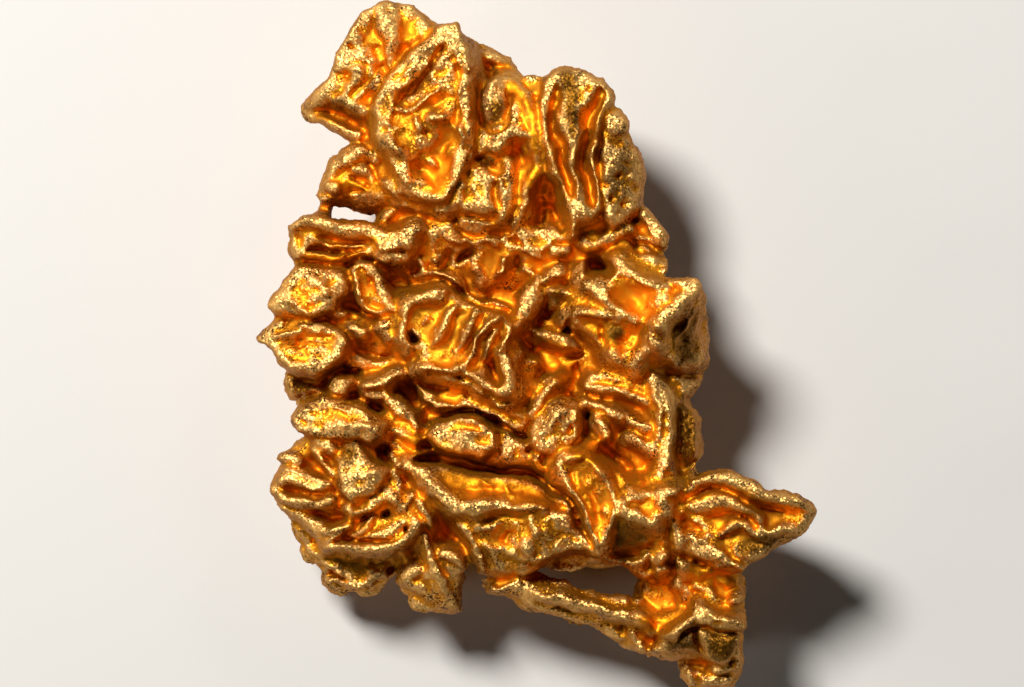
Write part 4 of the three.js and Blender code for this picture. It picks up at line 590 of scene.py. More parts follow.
eyelet = {   # the oval with a slit, and the column to its right
    "plates": [
        plate([(-0.35, -3.9), (0.0, -3.0), (0.6, -2.4), (1.2, -2.2), (1.75, -2.35), (1.9, -2.8),
               (1.65, -3.6), (1.2, -4.3), (0.7, -4.75), (0.1, -4.75), (-0.3, -4.4)], 8.0, (0.12, -0.08),
              edge=0.22),
        plate([(4.7, -0.9), (5.3, -1.2), (5.9, -1.8), (6.0, -3.5), (5.95, -5.2), (6.0, -6.3), (4.2, -6.2),
               (4.6, -5.6), (4.95, -4.8), (4.8, -3.4), (4.8, -2.2)], 7.7, (-0.03, 0.04), edge=0.5,
              wall=1.0),
        plate([(5.7, -0.9), (7.3, -0.9), (7.0, -1.6), (6.5, -2.2), (7.3, -3.2), (7.25, -4.6), (6.7, -5.3),
               (6.4, -6.0), (5.9, -6.2), (5.8, -4.0), (5.8, -2.4)], 6.7, (-0.12, 0.0), edge=0.4, wall=2.0),
    ],
    "bars": [
        [(2.3, -1.7, 0.10, 7.5), (3.4, -1.9, 0.12, 7.6), (4.8, -2.3, 0.10, 7.5)],
        [(2.5, -1.3, 0.10, 7.3), (3.6, -1.5, 0.12, 7.4), (4.6, -1.7, 0.10, 7.3)],
        [(2.2, -2.5, 0.15, 7.5), (3.0, -2.8, 0.18, 7.7), (3.8, -3.15, 0.14, 7.6)],
        [(2.7, -3.4, 0.26, 7.7), (3.0, -3.9, 0.26, 7.7)],
        [(4.3, -4.1, 0.22, 7.5), (4.9, -4.4, 0.24, 7.6)],
        [(4.2, -3.3, 0.14, 7.4), (4.8, -3.5, 0.14, 7.6)],
        [(0.0, -5.1, 0.12, 7.3), (0.3, -5.5, 0.12, 7.3), (0.8, -5.4, 0.12, 7.3)],
        [(3.6, -5.4, 0.14, 7.4), (3.9, -6.0, 0.15, 7.8)],
        [(4.4, -6.05, 0.16, 8.0), (4.5, -5.95, 0.14, 7.9)],
        [(6.55, -5.6, 0.24, 6.6), (6.3, -6.2, 0.2, 6.4)],
    ],
    "sinks": [
        [(1.45, -3.2, 0.14, 0.7), (1.25, -3.6, 0.14, 0.7)],
        [(2.4, -4.6, 0.5, 0.5), (3.4, -5.0, 0.6, 0.8), (4.0, -5.4, 0.5, 0.8)], [(4.8, -1.2, 0.2, 0.6)],
        [(0.3, -5.2, 0.2, 0.7), (0.5, -5.25, 0.14, 0.5)], [(-0.35, -4.7, 0.2, 0.6)],
        [(2.0, -1.8, 0.3, 0.4), (1.8, -1.0, 0.3, 0.5)], [(0.8, -5.1, 0.3, 0.6)],
    ],
    "ridges": [
        [(0.2, -3.9, 0.25, 0.2), (0.8, -3.1, 0.36, 0.3), (1.2, -2.7, 0.3, 0.3)],
        [(1.7, -2.6, 0.14, 0.3), (1.7, -3.1, 0.12, 0.3)],
        [(6.8, -2.8, 0.2, 0.3), (7.0, -3.8, 0.2, 0.3), (6.8, -4.6, 0.2, 0.3)],
        [(5.1, -1.6, 0.2, 0.25), (5.25, -2.8, 0.2, 0.3), (5.15, -4.0, 0.2, 0.25)],
        [(5.65, -2.2, 0.16, 0.25), (5.7, -3.4, 0.16, 0.25), (5.6, -5.2, 0.2, 0.3)],
    ],
    "pits": [
        (2.4, -2.0, 0.14, 0.5), (3.4, -1.7, 0.12, 0.3), (3.0, -2.4, 0.16, 0.4), (6.4, -3.2, 0.16, 0.3),
        (6.5, -4.4, 0.14, 0.3), (2.2, -3.0, 0.2, 0.5),
    ],
    "rows": [((0.3, -4.0), (1.3, -2.5), 9, 0.14, 0.10), ((6.1, -2.2), (6.9, -4.8), 9, 0.14, 0.12)],
}

lowerLeft = {   # the fan of thin plates at the lower left
    "plates": [
        plate([(-10.6, -3.2), (-10.3, -2.7), (-9.7, -2.5), (-9.3, -2.1), (-8.6, -2.3), (-7.7, -2.6),
               (-7.0, -3.3), (-6.55, -3.6), (-6.6, -4.0), (-7.3, -4.3), (-8.5, -4.1), (-9.7, -4.0),
               (-10.4, -3.8)], 7.8, (0.14, -0.14), edge=0.16, wall=2.6),
        plate([(-8.35, -4.4), (-7.7, -4.2), (-7.2, -4.9), (-6.5, -5.2), (-6.6, -5.8), (-7.1, -6.4),
               (-8.0, -6.6), (-8.5, -6.2), (-8.5, -5.6), (-8.6, -5.0)], 8.0, (0.10, -0.06), edge=0.2,
              wall=2.6),
        plate([(-10.2, -4.1), (-8.4, -4.2), (-7.0, -4.4), (-5.8, -5.0), (-5.6, -6.4), (-5.2, -7.4),
               (-5.3, -8.2), (-6.0, -8.6), (-7.0, -8.95), (-8.0, -9.05), (-8.9, -8.9), (-9.6, -8.4),
               (-10.4, -7.8), (-11.1, -7.1), (-11.6, -6.3), (-10.9, -4.9)], 6.9, (0.10, 0.0), edge=0.3,
              rim=0.3, bowl=0.3, reach=0.8, wall=2.6),
        plate([(-11.2, -7.0), (-10.2, -7.9), (-9.2, -8.8), (-7.0, -9.0), (-5.4, -8.3), (-5.2, -9.2),
               (-6.0, -9.9), (-6.8, -10.5), (-8.0, -10.9), (-9.0, -10.2), (-10.2, -9.0)], 5.3, (0.02, 0.35),
              edge=0.4, wall=2.6),
    ],
    "bars": [
        [(-9.4, -4.3, 0.16, 7.3), (-8.8, -4.6, 0.18, 7.4)],
        [(-9.7, -4.65, 0.08, 7.1), (-9.2, -5.05, 0.08, 7.3), (-8.75, -5.5, 0.08, 7.4)],
        [(-10.9, -5.0, 0.3, 6.8), (-10.4, -5.2, 0.2, 6.9)],
        [(-10.8, -5.6, 0.12, 6.9), (-9.9, -5.75, 0.12, 7.1), (-9.0, -6.0, 0.12, 7.3)],
        [(-11.1, -6.0, 0.13, 6.8), (-10.2, -6.0, 0.12, 7.1), (-9.3, -6.2, 0.12, 7.3)],
        [(-11.4, -6.35, 0.16, 6.6), (-10.5, -6.7, 0.18, 7.0), (-9.6, -6.85, 0.18, 7.2),
         (-8.9, -6.75, 0.16, 7.4)],
        [(-11.0, -7.1, 0.18, 6.3), (-10.4, -7.4, 0.18, 6.5), (-9.8, -7.7, 0.18, 6.7),
         (-9.2, -8.0, 0.22, 7.0), (-8.6, -7.85, 0.16, 7.2), (-8.1, -7.7, 0.14, 7.2)],
        [(-9.0, -8.8, 0.14, 6.9), (-8.2, -8.92, 0.16, 7.1), (-7.2, -8.9, 0.17, 7.2),
         (-6.4, -8.65, 0.17, 7.3), (-5.6, -8.3, 0.2, 7.4), (-5.35, -7.8, 0.2, 7.5)],
        [(-9.0, -8.5, 0.09, 7.0), (-8.6, -8.1, 0.09, 7.1)],
        [(-7.8, -8.15, 0.16, 7.0), (-7.4, -7.85, 0.18, 7.2), (-7.1, -7.45, 0.14, 7.2)],
        [(-7.1, -8.25, 0.2, 7.1), (-6.5, -8.1, 0.24, 7.3), (-6.0, -7.8, 0.16, 7.3)],
        [(-7.8, -7.1, 0.2, 7.2), (-7.2, -6.85, 0.2, 7.4), (-6.6, -6.6, 0.2, 7.5)],
        [(-6.3, -6.3, 0.2, 7.6), (-6.1, -6.6, 0.28, 7.7), (-5.95, -6.9, 0.18, 7.6)],
        [(-6.0, -7.25, 0.10, 7.4), (-5.7, -7.1, 0.11, 7.6), (-5.4, -6.7, 0.11, 7.7)],
        [(-5.0, -7.0, 0.13, 7.6), (-4.85, -7.4, 0.14, 7.5), (-4.65, -7.8, 0.14, 7.3)],
        [(-8.15, -7.0, 0.16, 7.3), (-8.1, -7.3, 0.16, 7.2)],
        [(-7.0, -10.0, 0.25, 5.6), (-6.6, -10.1, 0.22, 5.6)],
        [(-10.6, -8.1, 0.25, 5.4), (-9.8, -8.9, 0.3, 5.3), (-9.0, -9.8, 0.3, 5.1)],
        [(-8.9, -9.4, 0.2, 5.7), (-8.0, -9.8, 0.25, 5.4), (-7.4, -9.4, 0.2, 5.7)],
        [(-9.0, -10.3, 0.3, 4.8), (-8.0, -10.6, 0.3, 4.8), (-7.0, -10.4, 0.25, 4.9)],
        [(-6.3, -9.2, 0.2, 5.9), (-5.9, -9.6, 0.2, 5.6)],
        [(-6.3, -5.3, 0.14, 7.4), (-6.1, -5.6, 0.12, 7.3)],
    ],
    "sinks": [
        [(-9.6, -7.3, 0.3, 0.5), (-8.9, -7.4, 0.3, 0.6), (-8.3, -7.3, 0.2, 0.4)],
        [(-8.4, -8.45, 0.2, 0.7), (-7.4, -8.55, 0.18, 0.9), (-6.4, -8.35, 0.12, 0.8)],
        [(-6.55, -7.4, 0.22, 1.4), (-6.4, -7.3, 0.2, 1.2)], [(-5.85, -8.15, 0.2, 1.2)],
        [(-7.5, -7.4, 0.2, 0.5), (-7.1, -7.2, 0.2, 0.4)],
        [(-9.2, -4.85, 0.16, 0.4), (-8.7, -5.1, 0.18, 0.5)],
        [(-9.9, -5.1, 0.25, 0.4), (-9.3, -5.5, 0.25, 0.5)],
        [(-6.7, -4.6, 0.25, 0.7), (-6.4, -5.0, 0.22, 0.9)],
        [(-10.5, -6.35, 0.16, 0.3), (-9.2, -6.5, 0.16, 0.4)],
    ],
    "ridges": [
        [(-9.2, -2.6, 0.14, 0.3), (-8.6, -2.7, 0.12, 0.3), (-8.1, -2.95, 0.12, 0.3)],
        [(-7.9, -2.75, 0.16, 0.25), (-7.3, -3.2, 0.16, 0.25)],
        [(-10.1, -2.85, 0.16, 0.25), (-9.6, -2.75, 0.14, 0.25)],
        [(-9.0, -3.4, 0.36, 0.2), (-7.6, -3.6, 0.45, 0.25), (-6.9, -3.75, 0.25, 0.2)],
        [(-8.3, -5.7, 0.25, 0.15), (-7.6, -5.5, 0.36, 0.25), (-6.9, -5.3, 0.25, 0.2)],
        [(-6.1, -5.0, 0.2, 0.3), (-5.9, -4.8, 0.2, 0.3)],
    ],
    "cracks": [
        [(-9.0, -2.55, 0.08, 0.3), (-8.6, -2.85, 0.08, 0.3), (-8.0, -3.05, 0.08, 0.25)],
        [(-10.3, -3.2, 0.1, 0.3), (-9.9, -3.5, 0.1, 0.3)],
        [(-8.9, -4.35, 0.1, 0.4), (-8.4, -4.55, 0.1, 0.5)],
        [(-7.3, -3.15, 0.08, 0.2), (-6.9, -3.55, 0.08, 0.2)],
    ],
    "pits": [
        (-9.2, -3.15, 0.14, 0.2), (-8.1, -4.8, 0.22, 0.3), (-8.4, -4.75, 0.16, 0.3),
        (-8.6, -9.3, 0.25, 0.4), (-7.6, -9.5, 0.25, 0.4), (-6.4, -9.6, 0.2, 0.4), (-9.4, -8.95, 0.2, 0.35),
        (-8.1, -9.3, 0.3, 0.6), (-7.1, -9.5, 0.25, 0.6), (-8.9, -9.6, 0.25, 0.5), (-6.0, -9.0, 0.22, 0.5),
        (-8.3, -10.1, 0.25, 0.5), (-9.8, -8.5, 0.22, 0.5), (-7.4, -10.0, 0.2, 0.4), (-9.3, -2.45, 0.1, 0.2),
        (-7.5, -10.2, 0.2, 0.3), (-10.0, -8.4, 0.16, 0.3),
    ],
    "rows": [
        ((-8.8, -8.85), (-5.7, -8.35), 18, 0.11, 0.12), ((-9.0, -3.4), (-6.9, -3.6), 11, 0.16, 0.08),
        ((-8.3, -5.9), (-6.9, -5.5), 8, 0.14, 0.10),
    ],
}

lowerSheet = {   # the long folded sheet, its hanging leaves and the boat-shaped pocket
    "plates": [
        plate([(-6.3, -4.9), (-5.6, -4.7), (-5.0, -5.0), (-4.0, -5.3), (-2.8, -5.4), (-1.8, -5.5),
               (-0.8, -5.75), (0.2, -6.15), (1.0, -6.65), (1.4, -7.1), (1.6, -7.8), (0.8, -7.2),
               (-1.0, -7.25), (-3.0, -7.0), (-4.2, -6.9), (-4.8, -6.6), (-5.2, -5.9), (-6.1, -5.4)], 7.3,
              (0.02, 0.16), edge=0.3, wall=2.6),
        plate([(-4.6, -6.6), (-3.2, -6.9), (0.4, -7.15), (1.3, -7.3), (1.8, -8.2), (2.5, -9.0), (1.2, -9.2),
               (0.6, -9.3), (0.1, -9.7), (-0.4, -10.2), (-1.6, -10.35), (-2.3, -9.8), (-2.5, -9.0),
               (-2.9, -8.4), (-3.2, -7.7), (-3.9, -7.4), (-4.5, -7.2)], 7.3, (0.06, 0.30), edge=0.3,
              wall=2.4),
        plate([(-5.4, -7.8), (-3.3, -7.4), (-2.7, -8.6), (-2.6, -9.4), (-3.3, -9.8), (-4.4, -9.8),
               (-5.8, -9.6), (-5.8, -8.6)], 6.3, (0.0, 0.1), edge=0.15, rim=0.1, bowl=0.3, reach=0.5,
              wall=1.5),
        plate([(-5.1, -8.1), (-5.0, -8.8), (-5.1, -9.4), (-6.0, -10.2), (-5.7, -10.8), (-4.6, -11.5),
               (-3.7, -11.9), (-3.3, -11.75), (-3.5, -10.4), (-3.2, -9.3), (-3.4, -8.9), (-4.3, -8.8)], 6.5,
              (0.08, 0.22), edge=0.35, wall=2.6),
        plate([(1.05, -5.1), (1.5, -4.6), (2.2, -4.7), (2.8, -5.4), (3.3, -6.4), (3.4, -7.4), (3.3, -8.1),
               (2.95, -8.8), (2.5, -8.4), (2.0, -7.5), (1.5, -6.5), (1.15, -5.8)], 8.3, (0.04, 0.06),
              edge=0.18, rim=0.2, bowl=0.4, reach=0.5, wall=3.0),
    ],
    "bars": [
        [(-6.1, -4.95, 0.25, 7.4), (-5.4, -5.1, 0.28, 7.7), (-4.9, -5.5, 0.32, 7.9),
         (-4.6, -6.0, 0.34, 8.1), (-4.1, -6.5, 0.36, 8.3), (-3.3, -6.85, 0.36, 8.4),
         (-2.4, -7.0, 0.28, 8.5), (-1.4, -7.1, 0.2, 8.5), (-0.4, -7.1, 0.16, 8.4), (0.4, -7.15, 0.1, 8.3)],
        [(1.15, -5.2, 0.12, 8.5), (1.4, -5.9, 0.12, 8.6), (1.8, -6.8, 0.12, 8.6), (2.2, -7.6, 0.12, 8.5),
         (2.75, -8.6, 0.14, 8.3)],
        [(1.4, -4.85, 0.2, 8.7), (1.9, -4.75, 0.18, 8.7), (2.15, -4.8, 0.14, 8.6)],
        [(2.2, -4.85, 0.08, 8.6), (2.8, -5.6, 0.08, 8.6), (3.25, -6.5, 0.08, 8.6), (3.3, -7.5, 0.1, 8.5),
         (3.1, -8.4, 0.12, 8.3)],
        [(-5.05, -8.1, 0.09, 6.9), (-4.85, -8.8, 0.12, 7.0), (-4.6, -9.5, 0.16, 6.9),
         (-4.3, -10.1, 0.18, 6.7), (-3.95, -10.8, 0.16, 6.4), (-3.6, -11.5, 0.16, 6.0)],
        [(-4.1, -9.0, 0.26, 7.0), (-3.6, -9.15, 0.28, 7.1), (-3.4, -9.4, 0.2, 7.0)],
        [(-5.2, -9.7, 0.25, 6.6), (-5.6, -10.1, 0.3, 6.3), (-5.0, -10.4, 0.25, 6.3)],
        [(-5.4, -11.0, 0.2, 5.7), (-4.8, -11.35, 0.22, 5.7), (-4.5, -11.4, 0.2, 5.7)],
        [(-3.15, -7.7, 0.14, 7.6), (-2.8, -8.3, 0.14, 7.5), (-2.5, -9.1, 0.15, 7.2),
         (-2.3, -9.8, 0.16, 6.8)],
        [(-0.2, -7.7, 0.28, 8.0), (-0.05, -8.1, 0.28, 7.9)],
        [(-0.5, -8.6, 0.34, 7.6), (-0.3, -8.8, 0.34, 7.5)],
        [(0.55, -7.7, 0.14, 7.9), (1.0, -7.7, 0.18, 7.9), (1.1, -8.1, 0.14, 7.7), (0.7, -8.35, 0.14, 7.6),
         (0.5, -8.0, 0.12, 7.7)],
    ],
    "sinks": [
        [(-2.2, -7.55, 0.2, 0.3), (-1.4, -7.5, 0.2, 0.35), (-0.7, -7.6, 0.18, 0.35)],
        [(-1.25, -8.3, 0.24, 0.5), (-1.25, -8.7, 0.14, 0.4)],
        [(2.0, -5.6, 0.16, 0.25), (2.4, -6.6, 0.25, 0.3), (2.7, -7.6, 0.2, 0.3)],
        [(-4.3, -8.0, 0.3, 0.4), (-3.6, -8.4, 0.3, 0.5)], [(1.5, -8.3, 0.25, 0.3), (1.9, -8.8, 0.25, 0.2)],
    ],
    "ridges": [
        [(-2.5, -7.9, 0.3, 0.2), (-1.8, -7.9, 0.25, 0.25)],
        [(-2.4, -8.5, 0.16, 0.25), (-1.8, -8.85, 0.16, 0.3), (-1.0, -9.0, 0.2, 0.3)],
        [(-1.6, -9.6, 0.25, 0.2), (-1.2, -9.8, 0.2, 0.2)],
        [(-0.1, -9.3, 0.14, 0.25), (0.5, -9.1, 0.14, 0.25)],
        [(-2.2, -6.0, 0.12, 0.3), (-1.9, -6.15, 0.16, 0.35)],
        [(-1.5, -6.2, 0.16, 0.4), (-1.1, -6.6, 0.18, 0.4), (-0.6, -6.5, 0.2, 0.25)],
        [(0.3, -6.8, 0.16, 0.25), (0.8, -6.75, 0.14, 0.25)],
        [(-4.2, -5.7, 0.25, 0.2), (-3.4, -6.0, 0.2, 0.2)],
        [(2.75, -7.05, 0.2, 0.25), (2.9, -7.2, 0.18, 0.25)],
        [(-4.6, -9.2, 0.14, 0.15), (-4.2, -10.0, 0.14, 0.15)],
    ],
    "cracks": [
        [(-5.3, -4.85, 0.22, 0.8), (-4.4, -5.0, 0.3, 1.4), (-3.2, -5.15, 0.2, 1.2),
         (-2.2, -5.25, 0.16, 1.1), (-1.2, -5.45, 0.22, 1.4), (-0.4, -5.65, 0.25, 1.5),
         (0.4, -6.0, 0.18, 1.3), (1.0, -6.4, 0.25, 1.5), (1.35, -6.7, 0.25, 1.5), (1.6, -7.3, 0.25, 1.4),
         (2.0, -8.1, 0.25, 1.3), (2.5, -8.8, 0.16, 0.9)],
        [(1.65, -5.4, 0.1, 0.4), (1.85, -6.4, 0.1, 0.5), (2.2, -7.3, 0.1, 0.5), (2.6, -8.1, 0.08, 0.3)],
        [(-4.7, -8.6, 0.08, 0.2), (-4.4, -9.4, 0.1, 0.3), (-3.9, -10.2, 0.1, 0.3)],
        [(-1.0, -9.3, 0.1, 0.25), (-0.2, -9.5, 0.1, 0.25)],
        [(-2.4, -7.35, 0.1, 0.3), (-1.2, -7.35, 0.1, 0.35), (-0.2, -7.3, 0.08, 0.3),
         (0.3, -7.25, 0.06, 0.2)],
    ],
    "pits": [
        (-3.95, -6.7, 0.14, 0.35), (-2.6, -7.9, 0.08, 0.2), (-4.65, -9.35, 0.12, 0.2),
        (-1.9, -9.2, 0.14, 0.2), (-3.5, -8.0, 0.2, 0.2), (-4.65, -7.65, 0.07, 0.2), (2.9, -6.0, 0.06, 0.1),
        (1.2, -5.5, 0.1, 0.3), (-5.0, -10.8, 0.16, 0.3), (1.3, -9.0, 0.05, 0.1),
    ],
    "rows": [
        ((-5.0, -5.6), (-3.9, -6.6), 8, 0.15, 0.12), ((-3.6, -6.8), (-1.0, -7.1), 16, 0.13, 0.10),
        ((-2.3, -8.2), (-1.6, -9.4), 6, 0.15, 0.12), ((-5.0, -9.6), (-4.0, -11.0), 8, 0.15, 0.14),
        ((-1.9, -9.3), (-0.9, -9.5), 6, 0.14, 0.1),
    ],
}

facetBlock = {   # the block with a broken face
    "plates": [
        plate([(3.55, -6.6), (4.2, -6.15), (5.8, -6.25), (5.95, -6.9), (5.3, -7.6), (4.8, -7.75),
               (4.0, -7.35), (3.55, -7.2)], 8.5, (0.0, -0.05), edge=0.2, rim=0.3, bowl=0.3, reach=0.2,
              wall=3.0),
        plate([(3.45, -7.2), (4.1, -7.35), (5.0, -7.75), (5.05, -8.6), (4.8, -9.05), (4.0, -9.35),
               (3.0, -9.45), (2.85, -8.8), (3.3, -8.3)], 7.4, (0.0, 0.55), edge=0.1, wall=3.0),
        plate([(4.95, -7.8), (5.7, -7.1), (6.1, -7.4), (6.1, -8.9), (5.3, -9.1), (4.95, -8.7)], 7.4,
              (-0.15, 0.25), edge=0.2),
        plate([(4.2, -9.0), (6.0, -8.8), (6.2, -9.6), (6.0, -10.6), (5.2, -10.4), (4.3, -9.9)], 6.2,
              edge=0.3),
    ],
    "bars": [
        [(3.7, -6.8, 0.16, 8.8), (3.8, -7.2, 0.2, 8.8), (4.4, -7.4, 0.18, 8.8), (5.0, -7.55, 0.2, 8.8),
         (5.1, -7.3, 0.16, 8.8)],
        [(5.5, -6.8, 0.28, 8.8), (5.6, -7.0, 0.24, 8.7)],
        [(5.4, -6.4, 0.2, 8.7), (5.85, -6.4, 0.1, 8.7)],
        [(4.2, -6.4, 0.2, 8.7), (4.6, -6.6, 0.15, 8.6)],
        [(5.3, -9.3, 0.22, 7.4), (5.5, -9.05, 0.22, 7.5)],
        [(5.35, -9.85, 0.3, 7.0), (5.6, -9.8, 0.3, 7.0)],
        [(4.5, -9.7, 0.28, 6.7), (4.75, -9.85, 0.22, 6.6)],
        [(2.9, -8.7, 0.1, 7.4), (3.4, -9.3, 0.12, 7.0), (4.2, -9.45, 0.12, 6.9), (4.9, -9.1, 0.12, 7.1)],
    ],
    "sinks": [
        [(4.6, -7.0, 0.2, 0.2), (5.0, -7.0, 0.2, 0.2)], [(4.8, -6.65, 0.2, 0.3)],
        [(5.2, -8.2, 0.14, 0.2), (5.6, -7.8, 0.14, 0.2)],
    ],
    "cracks": [[(5.05, -7.8, 0.08, 0.4), (5.05, -8.7, 0.08, 0.4)]],
    "pits": [(4.2, -8.5, 0.16, 0.1), (5.0, -10.2, 0.25, 0.5), (3.6, -9.0, 0.14, 0.15)],
}

wing = {   # the pointed wing on the right
    "plates": [
        plate([(6.0, -6.8), (6.6, -6.1), (7.2, -5.65), (7.9, -5.4), (8.6, -5.6), (9.3, -5.9), (10.0, -6.2),
               (10.8, -6.3), (11.4, -6.6), (12.0, -7.0), (12.25, -7.4), (11.9, -7.8), (11.3, -8.2),
               (10.6, -8.6), (9.9, -9.0), (9.4, -9.3), (8.6, -9.4), (7.4, -9.2), (6.6, -8.9), (6.0, -8.0)],
              7.7, (-0.03, 0.06), edge=0.3, rim=0.25, bowl=0.2, reach=0.4, wall=2.6),
        plate([(6.0, -7.2), (6.5, -7.6), (7.2, -8.3), (8.0, -8.8), (8.9, -9.5), (8.0, -9.6), (6.9, -9.25),
               (6.1, -8.6)], 7.9, (0.12, -0.10), edge=0.14, wall=3.0),
        plate([(7.9, -8.2), (8.7, -7.8), (9.3, -7.95), (9.9, -8.3), (11.2, -8.0), (11.4, -8.2),
               (10.6, -8.65), (9.9, -9.05), (9.2, -9.35), (8.5, -9.0)], 7.5, (-0.08, 0.30), edge=0.15,
              wall=3.0),
        plate([(6.1, -9.2), (6.8, -9.4), (8.9, -9.6), (9.2, -10.6), (9.15, -11.9), (8.2, -11.3),
               (7.4, -11.0), (6.8, -10.8), (6.2, -10.2)], 6.6, (-0.12, 0.2), edge=0.35, wall=1.6),
        plate([(5.9, -10.1), (6.7, -10.3), (6.9, -11.0), (6.6, -11.8), (5.9, -11.4)], 6.3, edge=0.35,
              wall=1.6),
    ],
    "bars": [
        [(6.2, -6.75, 0.14, 7.8), (6.8, -6.1, 0.2, 8.1), (7.5, -5.75, 0.24, 8.4), (8.2, -5.75, 0.28, 8.6),
         (9.0, -6.1, 0.3, 8.6), (9.8, -6.45, 0.3, 8.5), (10.6, -6.7, 0.3, 8.3), (11.3, -6.95, 0.28, 8.0),
         (11.9, -7.3, 0.22, 7.5)],
        [(6.9, -7.0, 0.3, 8.0), (7.4, -6.8, 0.34, 8.2), (8.0, -6.65, 0.3, 8.4), (8.6, -6.85, 0.28, 8.5),
         (9.1, -7.2, 0.18, 8.4), (9.6, -7.8, 0.12, 8.2), (9.95, -8.05, 0.1, 8.1), (10.6, -7.85, 0.12, 8.0),
         (11.1, -7.9, 0.14, 7.8)],
        [(7.9, -8.1, 0.12, 8.0), (8.4, -7.75, 0.16, 8.2), (8.9, -7.75, 0.18, 8.2), (9.4, -8.0, 0.14, 8.1),
         (9.9, -8.35, 0.12, 7.9)],
        [(6.05, -7.1, 0.14, 7.9), (6.05, -7.8, 0.14, 7.9), (6.3, -8.6, 0.14, 7.8)],
        [(7.0, -8.6, 0.12, 8.0), (7.2, -8.5, 0.12, 8.0)],
        [(7.4, -8.2, 0.1, 7.9), (7.9, -8.7, 0.1, 7.7)],
        [(7.0, -10.6, 0.2, 6.8), (7.9, -10.9, 0.14, 6.8), (8.6, -11.3, 0.2, 6.7)],
        [(8.6, -11.1, 0.16, 7.0), (8.8, -11.1, 0.14, 7.0)],
        [(6.2, -10.4, 0.25, 6.6), (6.6, -10.9, 0.2, 6.6), (6.3, -11.3, 0.2, 6.4)],
    ],
    "sinks": [
        [(6.5, -6.85, 0.2, 0.4), (7.2, -6.35, 0.22, 0.5), (8.0, -6.2, 0.2, 0.5), (8.8, -6.45, 0.22, 0.5),
         (9.4, -6.95, 0.34, 0.5), (10.1, -7.2, 0.4, 0.5), (10.7, -7.3, 0.3, 0.3)],
        [(7.4, -7.4, 0.2, 0.4), (8.2, -7.3, 0.22, 0.5), (9.0, -7.45, 0.2, 0.5), (9.4, -7.8, 0.12, 0.4)],
        [(6.5, -8.0, 0.25, 0.7), (7.0, -8.1, 0.2, 0.6)], [(8.0, -9.4, 0.25, 0.4), (7.0, -9.6, 0.3, 0.5)],
        [(8.0, -10.2, 0.5, 0.25)],
    ],
    "ridges": [
        [(7.4, -9.9, 0.1, 0.15), (8.4, -10.6, 0.1, 0.15)],
        [(7.8, -9.9, 0.1, 0.12), (8.8, -10.6, 0.1, 0.12)], [(9.0, -9.0, 0.14, 0.2), (9.3, -9.1, 0.12, 0.2)],
    ],
    "pits": [
        (8.9, -8.6, 0.1, 0.12), (9.7, -8.6, 0.14, 0.15), (8.2, -8.4, 0.14, 0.2), (9.0, -9.9, 0.14, 0.3),
        (8.5, -8.9, 0.1, 0.15),
    ],
    "rows": [
        ((8.0, -5.6), (11.6, -7.0), 22, 0.12, 0.10), ((8.0, -6.55), (9.0, -7.0), 7, 0.12, 0.1),
        ((6.2, -8.2), (8.4, -9.2), 13, 0.12, 0.14),
    ],
}

